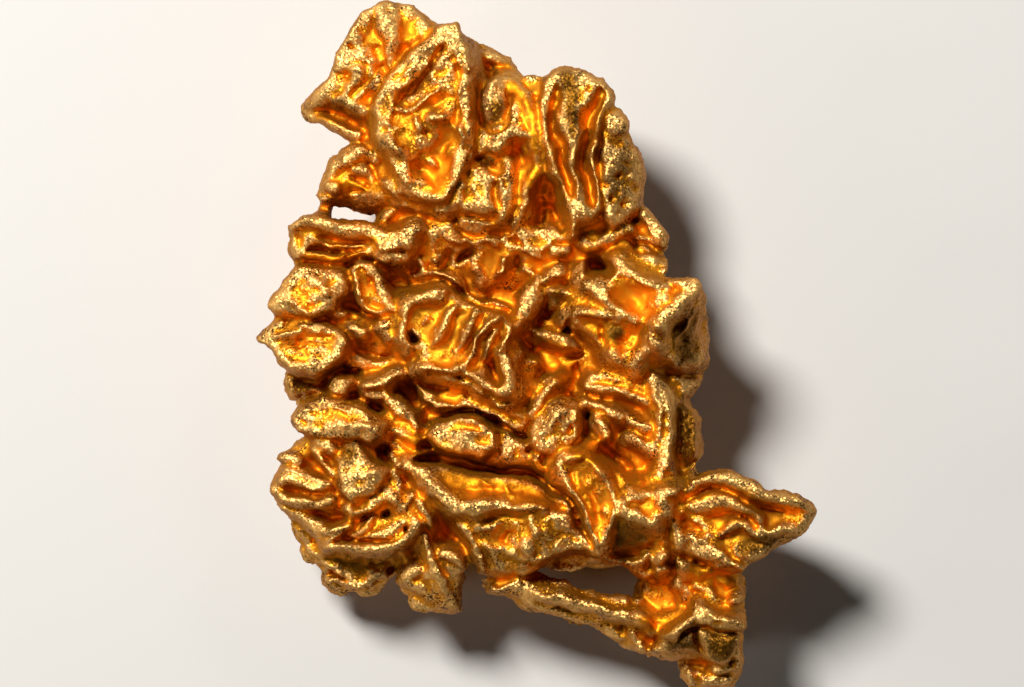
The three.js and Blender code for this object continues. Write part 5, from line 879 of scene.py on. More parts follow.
foot = {   # the bar along the lower edge and the faceted foot that it runs into
    "plates": [
        plate([(5.5, -12.6), (6.6, -11.9), (6.85, -11.15), (7.5, -10.95), (8.3, -11.35), (9.05, -12.05),
               (9.1, -12.4), (8.0, -12.25), (7.3, -12.05), (6.8, -12.2), (6.1, -12.7)], 7.8, (0.04, -0.22),
              edge=0.25, wall=2.6),
        plate([(4.9, -13.3), (5.9, -12.5), (6.8, -12.15), (7.4, -12.0), (9.05, -12.3), (8.95, -13.3),
               (8.6, -13.7), (7.3, -13.75), (6.2, -13.7), (5.4, -13.9)], 6.8, (0.04, 0.50), edge=0.15,
              wall=3.0),
        plate([(7.0, -12.4), (7.8, -11.95), (8.65, -12.3), (8.8, -13.05), (8.15, -13.65), (7.2, -13.35)],
              7.25, (0.02, 0.12), edge=0.1, rim=0.1, bowl=0.12, reach=0.1, wall=2.6),
        plate([(4.0, -11.3), (5.2, -11.7), (6.1, -11.5), (6.7, -11.7), (5.6, -12.6), (5.0, -13.1),
               (4.4, -12.7), (3.8, -12.0)], 6.4, (-0.05, 0.1), edge=0.3, wall=1.6),
        plate([(-2.0, -10.1), (-0.3, -10.3), (0.6, -10.5), (1.5, -10.8), (2.5, -11.0), (3.7, -11.0),
               (4.8, -11.2), (5.6, -12.4), (5.2, -13.4), (4.0, -12.9), (3.0, -12.45), (2.2, -12.15),
               (0.3, -11.75), (-0.5, -11.5), (-1.2, -11.0), (-2.2, -10.8)], 6.2, (0.03, 0.3), edge=0.4,
              wall=2.4),
        plate([(6.2, -13.5), (8.95, -13.4), (8.98, -14.4), (8.6, -15.0), (7.0, -15.0), (6.3, -14.5)], 5.9,
              (0.06, 0.1), edge=0.35, wall=2.4),
    ],
    "bars": [
        [(-1.6, -10.2, 0.25, 6.0), (-0.6, -10.45, 0.34, 6.3), (0.5, -10.85, 0.36, 6.5),
         (1.6, -11.15, 0.36, 6.6), (2.8, -11.4, 0.36, 6.6), (3.9, -11.65, 0.4, 6.6),
         (4.6, -12.0, 0.45, 6.6)],
        [(0.0, -10.3, 0.2, 6.0), (1.0, -10.6, 0.2, 6.0), (2.4, -10.95, 0.2, 6.1), (4.0, -11.15, 0.3, 6.2)],
        [(-2.2, -10.45, 0.22, 5.5), (-1.2, -10.9, 0.22, 5.5), (-0.4, -11.3, 0.25, 5.6),
         (0.8, -11.6, 0.2, 5.6), (2.0, -11.8, 0.22, 5.7), (3.0, -12.2, 0.25, 5.7), (4.0, -12.75, 0.3, 5.7),
         (5.0, -13.4, 0.3, 5.6)],
        [(4.1, -12.6, 0.14, 6.2), (4.6, -13.2, 0.16, 6.1)],
        [(8.0, -14.0, 0.3, 6.4), (8.5, -13.9, 0.25, 6.4)],
        [(7.6, -14.6, 0.25, 6.1), (8.4, -14.6, 0.3, 6.0)],
        [(6.6, -14.2, 0.16, 6.1), (6.9, -14.7, 0.2, 5.9)],
        [(8.7, -13.3, 0.12, 6.9), (8.85, -13.9, 0.14, 6.5)],
    ],
    "sinks": [[(6.8, -13.9, 0.25, 0.6), (7.3, -14.1, 0.25, 0.6)], [(5.2, -12.2, 0.3, 0.2)]],
    "ridges": [
        [(5.8, -12.3, 0.16, 0.25), (6.6, -11.9, 0.18, 0.3), (7.0, -11.3, 0.2, 0.25)],
        [(7.5, -11.4, 0.25, 0.25), (8.3, -11.7, 0.36, 0.3), (8.8, -12.1, 0.2, 0.25)],
        [(6.4, -13.2, 0.2, 0.15), (7.2, -13.3, 0.2, 0.15)],
    ],
    "cracks": [[(0.0, -11.2, 0.08, 0.3), (1.2, -11.5, 0.08, 0.3), (2.6, -11.75, 0.08, 0.3)]],
    "pits": [
        (8.6, -12.6, 0.12, 0.2), (6.8, -12.1, 0.16, 0.4), (7.2, -11.6, 0.1, 0.3), (5.4, -13.4, 0.14, 0.2),
        (6.6, -12.5, 0.16, 0.25),
    ],
    "rows": [
        ((-0.3, -10.75), (4.2, -11.55), 24, 0.13, 0.14), ((7.3, -11.3), (8.8, -12.0), 10, 0.14, 0.12),
        ((0.0, -11.55), (3.4, -12.3), 14, 0.14, 0.14),
    ],
}

front = [
    ground, crown, triangleHopper, backLobe, curledRibs, twinFin, pittedFin, shoulder, leftArm,
    leftBlocks, ribbedLeaf, eyelet, lowerLeft, lowerSheet, facetBlock, wing, foot,
]

sheet = {   # rounded lobes that carry the front; x, y, z and radius of each ball
    "lowest": -1.2,      # heights are drawn towards this level
    "share": 1.0,        # by this share
    "drop": 1.2,         # after the lobes are let down by this much
    "lobes": [
        [(-6.8, 12.4, 4.0, 1.3), (-3.4, 12.0, 4.6, 1.4), (-6.6, 9.6, 4.2, 1.7), (-2.8, 8.6, 4.6, 1.8)],
        [(-4.4, 9.4, 4.4, 1.8), (0.6, 9.6, 4.6, 1.7), (2.2, 7.2, 4.4, 1.9), (-4.2, 5.6, 4.2, 1.7)],
        [(-4.6, 5.2, 4.0, 1.6), (2.8, 5.4, 4.2, 1.8), (3.4, 3.0, 4.2, 1.7), (-5.6, 3.0, 3.7, 1.6)],
        [(-8.4, 4.3, 4.4, 1.1), (-4.4, 4.2, 4.0, 1.5), (-4.4, 1.4, 4.2, 1.8), (-8.6, 1.6, 4.2, 1.6)],
        [(-8.4, 1.4, 4.3, 1.6), (0.0, 2.6, 4.4, 2.0), (0.2, -2.4, 4.4, 2.1), (-8.2, -2.4, 4.2, 1.6)],
        [(0.0, 2.2, 4.6, 2.1), (4.8, 1.0, 4.8, 1.9), (4.8, -3.8, 4.3, 1.7), (0.4, -4.4, 4.4, 2.1)],
        [(-8.0, -2.8, 4.1, 1.6), (0.6, -2.8, 4.4, 2.0), (0.6, -6.2, 4.6, 1.8), (-7.6, -6.4, 3.8, 1.9)],
        [(-4.0, -5.6, 4.6, 1.6), (3.0, -5.4, 4.4, 1.7), (2.4, -7.6, 4.4, 1.5), (-1.4, -8.2, 4.4, 1.4)],
        [(0.2, -8.8, 4.6, 0.9), (4.4, -9.0, 4.6, 0.9), (4.4, -7.6, 4.8, 1.2)],
        [(3.4, -5.4, 4.4, 1.7), (6.6, -7.4, 4.8, 1.3), (6.6, -9.4, 4.6, 1.4), (4.4, -7.8, 5.2, 1.4)],
        [(5.9, -9.0, 4.6, 1.4), (7.9, -10.8, 4.5, 1.0), (7.7, -12.8, 4.6, 1.1), (5.6, -12.2, 4.6, 1.1)],
    ],
}

underside = {   # lobes of the same habit on the back, the lowest of them worn to the resting plane
    "lowest": 0.55,
    "share": 0.74,
    "drop": 0.0,
    "lobes": [
        [(-7.4, 12.0, 2.6, 0.9), (-4.2, 12.6, 2.8, 0.9), (-5.8, 10.4, 0.55, 1.0), (-3.6, 9.6, 1.6, 1.0)],
        [(-2.8, 10.6, 2.2, 1.0), (0.4, 10.4, 2.4, 1.0), (-2.4, 7.6, 1.6, 1.1), (0.4, 7.4, 1.6, 1.0)],
        [(1.6, 9.6, 2.2, 1.0), (3.2, 7.6, 2.4, 0.9), (1.6, 6.6, 0.55, 1.0), (3.2, 4.8, 1.8, 1.0)],
        [(-7.6, 8.2, 3.0, 0.8), (-4.6, 7.6, 2.4, 1.0), (-4.8, 4.8, 1.8, 1.1)],
        [(-9.4, 3.2, 2.8, 0.9), (-6.0, 3.6, 2.0, 1.0), (-8.6, 0.8, 0.55, 1.0), (-5.9, 0.2, 1.4, 1.1)],
        [(-3.8, 4.6, 2.2, 1.1), (0.6, 4.2, 2.0, 1.1), (-3.6, 1.6, 1.4, 1.1), (0.2, 1.0, 1.6, 1.1)],
        [(2.6, 3.0, 2.4, 1.0), (5.8, 1.4, 2.8, 1.0), (2.8, -0.8, 1.6, 1.1), (5.4, -2.4, 0.6, 1.1)],
        [(-9.6, -1.8, 2.8, 0.9), (-5.4, -1.6, 2.0, 1.1), (-8.4, -4.0, 2.0, 1.0), (-4.6, -4.2, 1.6, 1.1)],
        [(-2.4, -1.4, 2.0, 1.1), (1.2, -2.2, 1.6, 1.1), (-2.2, -4.8, 1.8, 1.1), (1.4, -5.4, 1.4, 1.1)],
        [(-9.0, -6.2, 2.2, 1.0), (-4.4, -6.2, 2.0, 1.1), (-7.4, -7.6, 0.55, 1.0), (-5.4, -8.2, 1.4, 1.0)],
        [(-3.0, -7.0, 2.6, 1.0), (1.6, -7.6, 2.4, 1.0), (-0.8, -9.2, 2.8, 0.8)],
        [(3.8, -4.6, 2.0, 1.1), (6.2, -5.8, 2.6, 1.0), (5.0, -8.4, 1.8, 1.0), (7.4, -8.8, 2.4, 1.0)],
        [(6.0, -10.2, 1.8, 1.1), (7.8, -10.6, 2.9, 0.9), (6.5, -12.3, 0.5, 0.9), (7.7, -12.6, 2.9, 0.9)],
    ],
}

finishes = {   # strokes of (x, y, half width, amount)
    "satin": [   # smooth slopes and hollows; their deeper orange colour is painted shade
        [(-3.8, 8.8, 0.4, 0.8), (-4.1, 8.0, 0.6, 0.8), (-4.5, 7.0, 0.7, 0.8)],
        [(0.95, 10.6, 0.3, 1.0), (1.0, 9.0, 0.4, 1.0), (1.4, 6.8, 0.4, 1.0)],
        [(2.5, 10.6, 0.4, 1.0), (2.2, 8.6, 0.5, 1.0), (2.3, 6.6, 0.5, 1.0)],
        [(-1.0, 11.2, 0.4, 1.0), (-0.1, 10.0, 0.4, 1.0), (0.1, 8.4, 0.4, 1.0)],
        [(-0.9, 8.4, 0.7, 0.8), (0.4, 6.6, 0.9, 1.0), (0.8, 5.4, 0.7, 1.0)],
        [(-9.4, 4.6, 0.3, 1.0), (-8.2, 4.6, 0.35, 1.0), (-7.0, 4.6, 0.3, 1.0)],
        [(-9.8, 3.9, 0.3, 0.8), (-7.4, 3.9, 0.3, 0.8)], [(-8.2, 1.8, 0.6, 1.0), (-7.2, 1.2, 0.5, 1.0)],
        [(-8.4, 7.0, 0.5, 1.0), (-6.8, 7.0, 0.5, 1.0)], [(2.4, 0.8, 0.8, 1.0), (3.4, 0.2, 0.7, 0.8)],
        [(3.6, 2.2, 0.5, 1.0), (4.4, 1.8, 0.4, 1.0)], [(2.0, 4.0, 0.8, 0.8), (3.6, 4.1, 0.5, 0.8)],
        [(0.6, -0.4, 1.2, 1.0), (1.6, -1.2, 1.0, 1.0)],
        [(2.0, -4.4, 1.0, 1.0), (3.6, -5.0, 1.2, 1.0), (4.4, -5.6, 0.9, 1.0)],
        [(-5.4, -4.2, 1.0, 0.8), (-3.0, -5.0, 0.5, 0.8), (0.6, -5.6, 0.7, 0.8)],
        [(-3.6, -5.8, 0.7, 1.0), (-1.6, -6.2, 0.8, 1.0), (0.6, -6.8, 0.5, 1.0)],
        [(1.8, -6.0, 0.4, 1.0), (2.6, -7.4, 0.5, 1.0)],
        [(6.6, -6.8, 0.3, 1.0), (8.2, -6.2, 0.35, 1.0), (9.8, -7.1, 0.6, 1.0)],
        [(7.6, -7.4, 0.6, 1.0), (9.0, -7.4, 0.4, 1.0)], [(7.0, -10.0, 0.9, 0.8), (8.4, -10.4, 0.8, 0.8)],
        [(-4.2, -8.0, 0.8, 1.0), (-3.4, -8.6, 0.5, 1.0)], [(-9.0, -7.3, 0.6, 0.8), (-7.6, -7.6, 0.5, 0.8)],
        [(-4.8, -1.6, 0.5, 1.0), (-3.6, -2.0, 0.5, 1.0)], [(-1.8, -1.1, 0.5, 1.0), (-1.7, -0.9, 0.5, 1.0)],
        [(4.9, -12.2, 0.8, 0.8), (5.8, -12.0, 0.5, 0.8)], [(-5.7, 13.8, 0.5, 0.8), (-5.6, 12.8, 0.4, 0.8)],
        [(-2.4, 12.2, 0.4, 0.8), (-1.3, 12.1, 0.4, 0.8)], [(-9.4, 9.9, 0.4, 0.8), (-7.6, 9.6, 0.5, 0.8)],
    ],
    "dull": [   # level and broken crystal faces; their brown colour is painted shade
        [(4.2, -8.2, 0.9, 1.0), (4.0, -8.8, 0.9, 1.0)], [(5.9, -13.2, 0.6, 0.6), (6.8, -13.2, 0.6, 0.6)],
        [(7.8, -12.8, 1.1, 1.0), (8.0, -12.85, 1.1, 1.0)], [(-1.6, 10.4, 0.6, 1.0), (-1.7, 9.9, 0.5, 1.0)],
        [(1.4, 11.4, 0.7, 0.9), (1.6, 10.0, 0.35, 0.9), (1.6, 9.0, 0.25, 0.8)],
        [(3.6, 7.8, 0.9, 0.35), (3.6, 6.4, 0.9, 0.35)], [(6.8, 1.2, 0.8, 0.9), (6.6, -0.2, 0.8, 0.9)],
        [(3.4, 0.5, 0.45, 1.0), (3.5, 0.4, 0.4, 1.0)], [(9.0, -8.7, 0.6, 0.9), (10.2, -8.4, 0.5, 0.8)],
        [(0.9, 2.1, 0.5, 0.9), (1.0, 2.0, 0.5, 0.9)], [(-8.1, -4.8, 0.5, 0.9), (-7.9, -4.7, 0.4, 0.9)],
        [(3.9, 4.85, 0.3, 0.9), (4.0, 4.8, 0.3, 0.9)], [(-10.6, -1.7, 0.6, 0.9), (-10.2, -2.0, 0.5, 0.9)],
        [(-8.5, 10.5, 0.4, 0.8), (-8.3, 10.4, 0.4, 0.8)], [(-2.0, 7.7, 0.4, 0.9), (-2.1, 7.9, 0.3, 0.9)],
        [(-3.6, -5.4, 0.5, 0.4), (-2.0, -5.6, 0.4, 0.4)],
        [(6.6, -2.4, 0.7, 0.8), (6.6, -3.6, 0.7, 0.9), (6.6, -4.8, 0.7, 0.9)],
        [(6.1, -5.6, 0.5, 0.8), (6.2, -6.0, 0.5, 0.8)],
    ],
}

body = {
    "gridStep": 0.08,
    "gridLow": (-13.0, -15.8),
    "gridHigh": (13.0, 15.8),
    "pathStep": 0.25,      # spacing of the places worked out along a bar or stroke
    "cloudBlur": 0.3,      # softness of a cloud, as a share of its size
    # clouds of (size, seed, amount) that leave nothing straight or even
    "wanderX": [(1.6, 1, 0.17), (0.6, 2, 0.045), (0.25, 3, 0.015)],
    "wanderY": [(1.6, 4, 0.17), (0.6, 5, 0.045), (0.25, 6, 0.015)],
    "swell": [(1.4, 7, 0.10), (0.5, 8, 0.03)],
    "crumple": [(0.8, 9, 0.12), (0.4, 10, 0.08)],
    "crumpleMiddle": 0.3,
    "grit": [(0.16, 12, 0.02)],
    "smoothShare": 0.8,    # satin and dull faces lose this share of crumple and grit
    "undercut": [(1.1, 11, 0.5)],
    "undercutMiddle": 0.75,
    "undercutRange": (0.1, 1.2),
    "plateMoat": 1.9,      # forms stand free of what they lie on, in a narrow dark gap
    "plateMoatWidth": 0.30,
    "moatHeight": 1.2,     # what stands further than this above a plate keeps its height
    "barMoat": 0.08,
    "barMoatWidth": 0.2,
    "dome": 0.28,          # closed plates swell to their middles, dished ones less
    "rimDome": 0.15,
    "domeReach": 0.8,
    "reach": 2.0,          # how far round a plate its wall is followed
    "barReach": 1.3,
    "barWall": 2.2,
    "crease": 0.035,       # softness where forms meet
    "rowWander": 0.05,     # the points of a row stand a little out of line
    "rowBeat": (7.3, 5.1),
    "rowSpread": 1.3,
    "deepening": 0.7,      # what lies below the deep level sinks further
    "deepLevel": 7.1,
    "lowestHollow": 4.6,
    "hollowInset": 0.25,
    "finishSpread": 1.8,
    "outerMargin": 0.10,
    "rimBlend": 0.45,
    "rimDrop": 0.5,        # the outline lies this far below the forms beside it
    "overhang": 0.8,       # under it the front falls back over about twice this length
    "overhangCurve": 0.7,
    "innerLevel": 2.4,
    "innerBlend": 0.1,
    "thinnest": 0.45,
    "rimNotch": 0.6,
    "notchGrowth": 4.0,
    "ballDetail": 3,
    "backVoxel": 0.16,
    "backSmooth": (0.5, 3),                      # share and passes
    "backWander": [(1.8, 0.6), (0.7, 0.25)],     # size and strength of the unevenness
    "fineVoxel": 0.085,
    "quickVoxel": 0.11,
    "smooth": (0.35, 1),
    "lean": [(0.8, 0.16), (0.4, 0.08)],
    "lumps": [(1.5, 0.9), (0.6, 0.3)],           # on the sides and the back
    "lumpSteepness": 1.6,
    "lumpTop": (4.8, 1.2),                       # they fade out below this height, over this much
    "lumpFoot": (0.3, 0.6),
    "lumpLevels": 5,
    "triangles": 196000,
    "reliefPasses": 14,
    "reliefHeight": 0.16,
    "frontLevel": (4.2, 0.5),                    # satin and dull marks begin at this height
    "steepLean": (0.75, 0.45),
}
farBelow = -9.0
tiny = 1e-9

def gather(key):
    return [form for region in front for form in region.get(key, [])]

def curvePoints(path):   # a smooth curve through the path's points, closely stepped
    points = np.array(path, dtype=float)
    padded = np.vstack([2 * points[0] - points[1], points, 2 * points[-1] - points[-2]])
    out = []
    for a, b, c, d in zip(padded, padded[1:], padded[2:], padded[3:]):
        steps = max(1, round(float(np.linalg.norm((c - b)[:2])) / body["pathStep"]))
        for t in np.arange(steps) / steps:
            bend = (2 * a - 5 * b + 4 * c - d) * t ** 2
            out.append(0.5 * (2 * b + (c - a) * t + bend + (3 * b - a - 3 * c + d) * t ** 3))
    out.append(points[-1])
    return np.array(out)

# the front is raised on a fine grid, like beaten relief, and closed underneath

gridSides = [np.arange(low, high, body["gridStep"]) for low, high in zip(body["gridLow"], body["gridHigh"])]
gridX, gridY = np.meshgrid(*gridSides)

def blurred(field, size):
    frequency = [np.fft.fftfreq(count, body["gridStep"]) for count in field.shape]
    squares = frequency[0][:, None] ** 2 + frequency[1][None, :] ** 2
    damping = np.exp(-2 * (math.pi * size) ** 2 * squares)
    return np.fft.ifft2(np.fft.fft2(field) * damping).real

def cloud(size, seed):   # soft seeded unevenness, mostly between -1 and 1
    field = blurred(np.random.default_rng(seed).standard_normal(gridX.shape), size * body["cloudBlur"])
    return field / (2 * field.std())

def withClouds(field, key):
    for size, seed, amount in body[key]:
        field = field + amount * cloud(size, seed)
    return field

placeX = withClouds(gridX, "wanderX")   # where each grid point finds its form
placeY = withClouds(gridY, "wanderY")
moatShare = np.clip(withClouds(body["undercutMiddle"], "undercut"), *body["undercutRange"])

def window(points, margin):   # the part of the grid round a form
    low, high = np.min(points, axis=0)[:2] - margin, np.max(points, axis=0)[:2] + margin
    start = np.maximum(np.floor((low - body["gridLow"]) / body["gridStep"]), 0).astype(int)
    end = np.maximum(np.ceil((high - body["gridLow"]) / body["gridStep"]) + 1, 0).astype(int)
    return slice(start[1], end[1]), slice(start[0], end[0])

def insideDistance(x, y, outline):   # above zero inside the outline
    away = np.full(x.shape, np.inf)
    inside = np.zeros(x.shape, dtype=bool)
    for (ax, ay), (bx, by) in zip(outline, outline[1:] + outline[:1]):
        runX, runY = bx - ax, by - ay
        t = np.clip(((x - ax) * runX + (y - ay) * runY) / (runX ** 2 + runY ** 2), 0, 1)
        away = np.minimum(away, np.hypot(x - ax - t * runX, y - ay - t * runY))
        if runY != 0:
            inside ^= ((ay > y) != (by > y)) & (x < ax + runX * (y - ay) / runY)
    return np.where(inside, away, -away)

def rounded(share):   # 0 at the edge of a round, 1 on its top
    return np.sqrt(np.clip(1 - (1 - np.clip(share, 0, 1)) ** 2, 0, 1))

def raisePlate(height, cover, form):
    part = window(form["outline"], body["reach"])
    x, y = placeX[part], placeY[part]
    d = insideDistance(x, y, form["outline"])
    middle = np.mean(form["outline"], axis=0)
    top = form["level"] + form["tilt"][0] * (x - middle[0]) + form["tilt"][1] * (y - middle[1])
    top -= form["edge"] * (1 - rounded(d / form["edge"]))
    share = 1 - np.clip(d / body["domeReach"], 0, 1)
    top -= (body["rimDome"] if form["bowl"] else body["dome"]) * share * share
    if form["bowl"]:
        t = np.clip((d - form["rim"]) / form["reach"], 0, 1)
        top -= form["bowl"] * t * t * (3 - 2 * t)
    top -= form["wall"] * np.maximum(-d, 0)
    beside = np.clip(1 + d / body["plateMoatWidth"], 0, 1)
    lower = height[part] < top + body["moatHeight"]
    height[part] -= body["plateMoat"] * moatShare[part] * beside * lower
    height[part] = np.maximum(height[part], top)
    cover[part] = np.maximum(cover[part], d)

# stretch by stretch: the distance of each grid point nearby, and the width and height at its nearest place
def alongPath(path, margin):
    points = curvePoints(path) if len(path) > 1 else np.array([path[0], path[0]], dtype=float)
    part = window(points[:, :2], margin)
    x, y = placeX[part], placeY[part]
    for a, b in zip(points, points[1:]):
        run = b[:2] - a[:2]
        length = max(float(run @ run), tiny)
        t = np.clip(((x - a[0]) * run[0] + (y - a[1]) * run[1]) / length, 0, 1)
        away = np.hypot(x - a[0] - t * run[0], y - a[1] - t * run[1])
        yield part, away, a[2] + t * (b[2] - a[2]), a[3] + t * (b[3] - a[3])

def raiseBar(height, cover, path):
    moat = np.zeros(gridX.shape)
    lifted = np.full(gridX.shape, farBelow)
    for part, away, width, crest in alongPath(path, body["barReach"]):
        beside = np.clip(1 - np.maximum(away - width, 0) / body["barMoatWidth"], 0, 1)
        moat[part] = np.maximum(moat[part], beside)
        top = crest - width * (1 - rounded(1 - away / width)) - body["barWall"] * np.maximum(away - width, 0)
        lifted[part] = np.maximum(lifted[part], top)
        cover[part] = np.maximum(cover[part], width - away)
    part = window(np.array(path)[:, :2], body["barReach"])
    height[part] = np.maximum(height[part] - body["barMoat"] * moatShare[part] * moat[part], lifted[part])

def stroke(path, sharp=False):   # the part of the grid under a brush stroke and its strength there
    best = None
    for part, away, width, amount in alongPath(path, max(point[2] for point in path)):
        share = np.clip(1 - away / width, 0, 1)
        fall = (share if sharp else share * share * (3 - 2 * share)) * amount
        best = fall if best is None else np.maximum(best, fall)
    return part, best

def finishField(key):   # 1 where the satin or dull strokes lie
    field = np.zeros(gridX.shape)
    for path in finishes[key]:
        part, amount = stroke(path)
        field[part] = np.maximum(field[part], np.clip(amount * body["finishSpread"], 0, 1))
    return field

def workStrokes(height):
    for key, sign, sharp in (("sinks", -1, False), ("ridges", 1, False), ("cracks", -1, True)):
        for path in gather(key):
            part, amount = stroke(path, sharp)
            height[part] += sign * amount * strength[key]
    for pit in gather("pits"):
        part, amount = stroke([pit, pit])
        height[part] -= amount
    wander, (beatX, beatY) = body["rowWander"], body["rowBeat"]
    for start, end, count, radius, rise in gather("rows"):
        for i in range(count):
            t = (i + 0.5) / count
            x, y = start[0] + t * (end[0] - start[0]), start[1] + t * (end[1] - start[1])
            x, y = x + wander * math.sin(beatX * i), y + wander * math.cos(beatY * i)
            spot = (x, y, radius * body["rowSpread"], rise)
            part, amount = stroke([spot, spot])
            height[part] += amount

def makeRelief():
    height = np.full(gridX.shape, 0.0)
    cover = np.full(gridX.shape, farBelow)
    for form in sorted(gather("plates"), key=lambda form: form["level"]):
        raisePlate(height, cover, form)
    for path in gather("bars"):
        raiseBar(height, cover, path)
    height = blurred(height, body["crease"])
    workStrokes(height)
    height -= body["deepening"] * np.maximum(body["deepLevel"] - height, 0)
    height = np.where(cover > body["hollowInset"], np.maximum(height, body["lowestHollow"]), height)
    satin, dull = finishField("satin"), finishField("dull")
    height += withClouds(0, "swell")
    folds = 0
    for size, seed, amount in body["crumple"]:   # crumpled faces, with sharp folds
        folds = folds + amount * (body["crumpleMiddle"] - np.abs(cloud(size, seed)))
    height += (1 - body["smoothShare"] * np.maximum(satin, dull)) * withClouds(folds, "grit")
    return height, cover, satin, dull

def closedRelief(height, cover):   # the front above, and a plain inner side that falls away under its rim
    mask = cover > -body["outerMargin"]
    cells = mask[:-1, :-1] & mask[1:, :-1] & mask[:-1, 1:] & mask[1:, 1:]
    touched = np.zeros(height.shape, dtype=int)
    for rows in (slice(0, -1), slice(1, None)):
        for columns in (slice(0, -1), slice(1, None)):
            touched[rows, columns] += cells
    used, inner = touched > 0, touched == 4
    share = blurred(used.astype(float), body["rimBlend"])
    rimLevel = blurred(height * used, body["rimBlend"]) / np.maximum(share, 0.05) - body["rimDrop"]
    inward = np.clip((blurred(used.astype(float), body["overhang"]) - 0.5) * 2, 0, 1)
    gapFloor = rimLevel - body["rimNotch"] - body["notchGrowth"] * inward
    height = np.maximum(height, gapFloor)   # gaps run out shallow at the outline
    under = rimLevel - (rimLevel - body["innerLevel"]) * inward ** body["overhangCurve"]
    under = np.minimum(under, blurred(height, body["innerBlend"]) - body["thinnest"])
    topIndex = np.cumsum(used.ravel()).reshape(used.shape) - 1
    innerIndex = np.cumsum(inner.ravel()).reshape(used.shape) - 1
    underIndex = np.where(inner, int(used.sum()) + innerIndex, topIndex)
    topHeight = np.where(inner, height, np.clip(height, rimLevel - body["rimNotch"], rimLevel))
    top = np.stack([gridX[used], gridY[used], topHeight[used]], axis=1)
    bottom = np.stack([gridX[inner], gridY[inner], under[inner]], axis=1)
    row, column = np.nonzero(cells)
    around = [(row, column), (row, column + 1), (row + 1, column + 1), (row + 1, column)]
    upper = np.stack([topIndex[place] for place in around], axis=1)
    lower = np.stack([underIndex[place] for place in reversed(around)], axis=1)
    return np.concatenate([top, bottom]), np.concatenate([upper, lower])

# the back is built of rounded lobes

def unitBall(subdivisions):
    mesh = bmesh.new()
    bmesh.ops.create_icosphere(mesh, subdivisions=subdivisions, radius=1.0)
    points = np.array([vertex.co[:] for vertex in mesh.verts])
    mesh.free()
    return points

ball = unitBall(body["ballDetail"])

def hull(balls):   # the corners and faces of one closed skin stretched over the balls
    mesh = bmesh.new()
    verts = [mesh.verts.new(point) for x, y, z, r in balls for point in ball * r + (x, y, z)]
    made = bmesh.ops.convex_hull(mesh, input=verts, use_existing_faces=False)
    left = made["geom_interior"] + made["geom_unused"]
    spare = {item for item in left if isinstance(item, bmesh.types.BMVert)}
    bmesh.ops.delete(mesh, geom=list(spare), context="VERTS")
    mesh.verts.index_update()
    corners = [vertex.co[:] for vertex in mesh.verts]
    faces = [[vertex.index for vertex in face.verts] for face in mesh.faces]
    mesh.free()
    return corners, faces

def onlySelect(obj):
    bpy.ops.object.select_all(action="DESELECT")
    obj.select_set(True)
    bpy.context.view_layer.objects.active = obj

def applyModifier(obj, kind, **settings):
    onlySelect(obj)
    modifier = obj.modifiers.new(kind.title(), kind)
    for name, value in settings.items():
        setattr(modifier, name, value)
    bpy.ops.object.modifier_apply(modifier=modifier.name)

def readPoints(obj):
    points = np.empty(len(obj.data.vertices) * 3, dtype=np.float64)
    obj.data.vertices.foreach_get("co", points)
    return points.reshape(-1, 3)

def readNormals(obj):
    normals = np.empty(len(obj.data.vertices) * 3, dtype=np.float64)
    obj.data.vertex_normals.foreach_get("vector", normals)
    return normals.reshape(-1, 3)

def readEdges(obj):
    edges = np.empty(len(obj.data.edges) * 2, dtype=np.int64)
    obj.data.edges.foreach_get("vertices", edges)
    return edges.reshape(-1, 2).T

def writePoints(obj, points):
    obj.data.vertices.foreach_set("co", points.ravel())
    obj.data.update()

def writeMark(obj, name, value):   # a number at each point that the finish follows
    attribute = obj.data.attributes.new(name, "FLOAT", "POINT")
    attribute.data.foreach_set("value", value.astype(np.float32))

def newObject(name, corners, faces):
    data = bpy.data.meshes.new(name)
    data.from_pydata([tuple(corner) for corner in corners], [], [list(face) for face in faces])
    obj = bpy.data.objects.new(name, data)
    bpy.context.collection.objects.link(obj)
    return obj

# push the skin about by soft clouds of (size, amount)
def displace(obj, name, clouds, kind="COLOR", direction="RGB_TO_XYZ", group=""):
    for size, amount in clouds:
        texture = bpy.data.textures.new(name, "CLOUDS")
        texture.noise_scale = size
        texture.noise_depth = 2
        texture.cloud_type = kind
        applyModifier(obj, "DISPLACE", texture=texture, direction=direction, strength=amount, mid_level=0.5,
                      vertex_group=group)

def makeBack():
    corners, faces = [], []
    for region in (sheet, underside):
        low, drop = region["lowest"], region["drop"]
        for balls in region["lobes"]:
            lowered = [(x, y, low + (z - drop - low) * region["share"], r) for x, y, z, r in balls]
            hullCorners, hullFaces = hull(lowered)
            faces += [[index + len(corners) for index in face] for face in hullFaces]
            corners += hullCorners
    obj = newObject("backLobes", corners, faces)
    applyModifier(obj, "REMESH", mode="VOXEL", voxel_size=body["backVoxel"])
    applyModifier(obj, "SMOOTH", factor=body["backSmooth"][0], iterations=body["backSmooth"][1])
    displace(obj, "backWander", body["backWander"])
    return obj

def faded(height, edge):
    return np.clip(height / edge, 0, 1)

def lumpySides(obj):   # the sides and the back are lumpier than the front is uneven
    lumps = obj.vertex_groups.new(name="lumps")
    points, normals = readPoints(obj), readNormals(obj)
    (top, topFade), (foot, footFade) = body["lumpTop"], body["lumpFoot"]
    share = np.clip((1 - np.abs(normals[:, 2])) * body["lumpSteepness"], 0, 1)
    share = share * faded(top - points[:, 2], topFade) * faded(points[:, 2] - foot, footFade)
    levels = body["lumpLevels"]
    for level in range(1, levels + 1):
        lumps.add(np.nonzero((share * levels).round() == level)[0].tolist(), level / levels, "REPLACE")
    displace(obj, "lumps", body["lumps"], "GRAYSCALE", "NORMAL", "lumps")

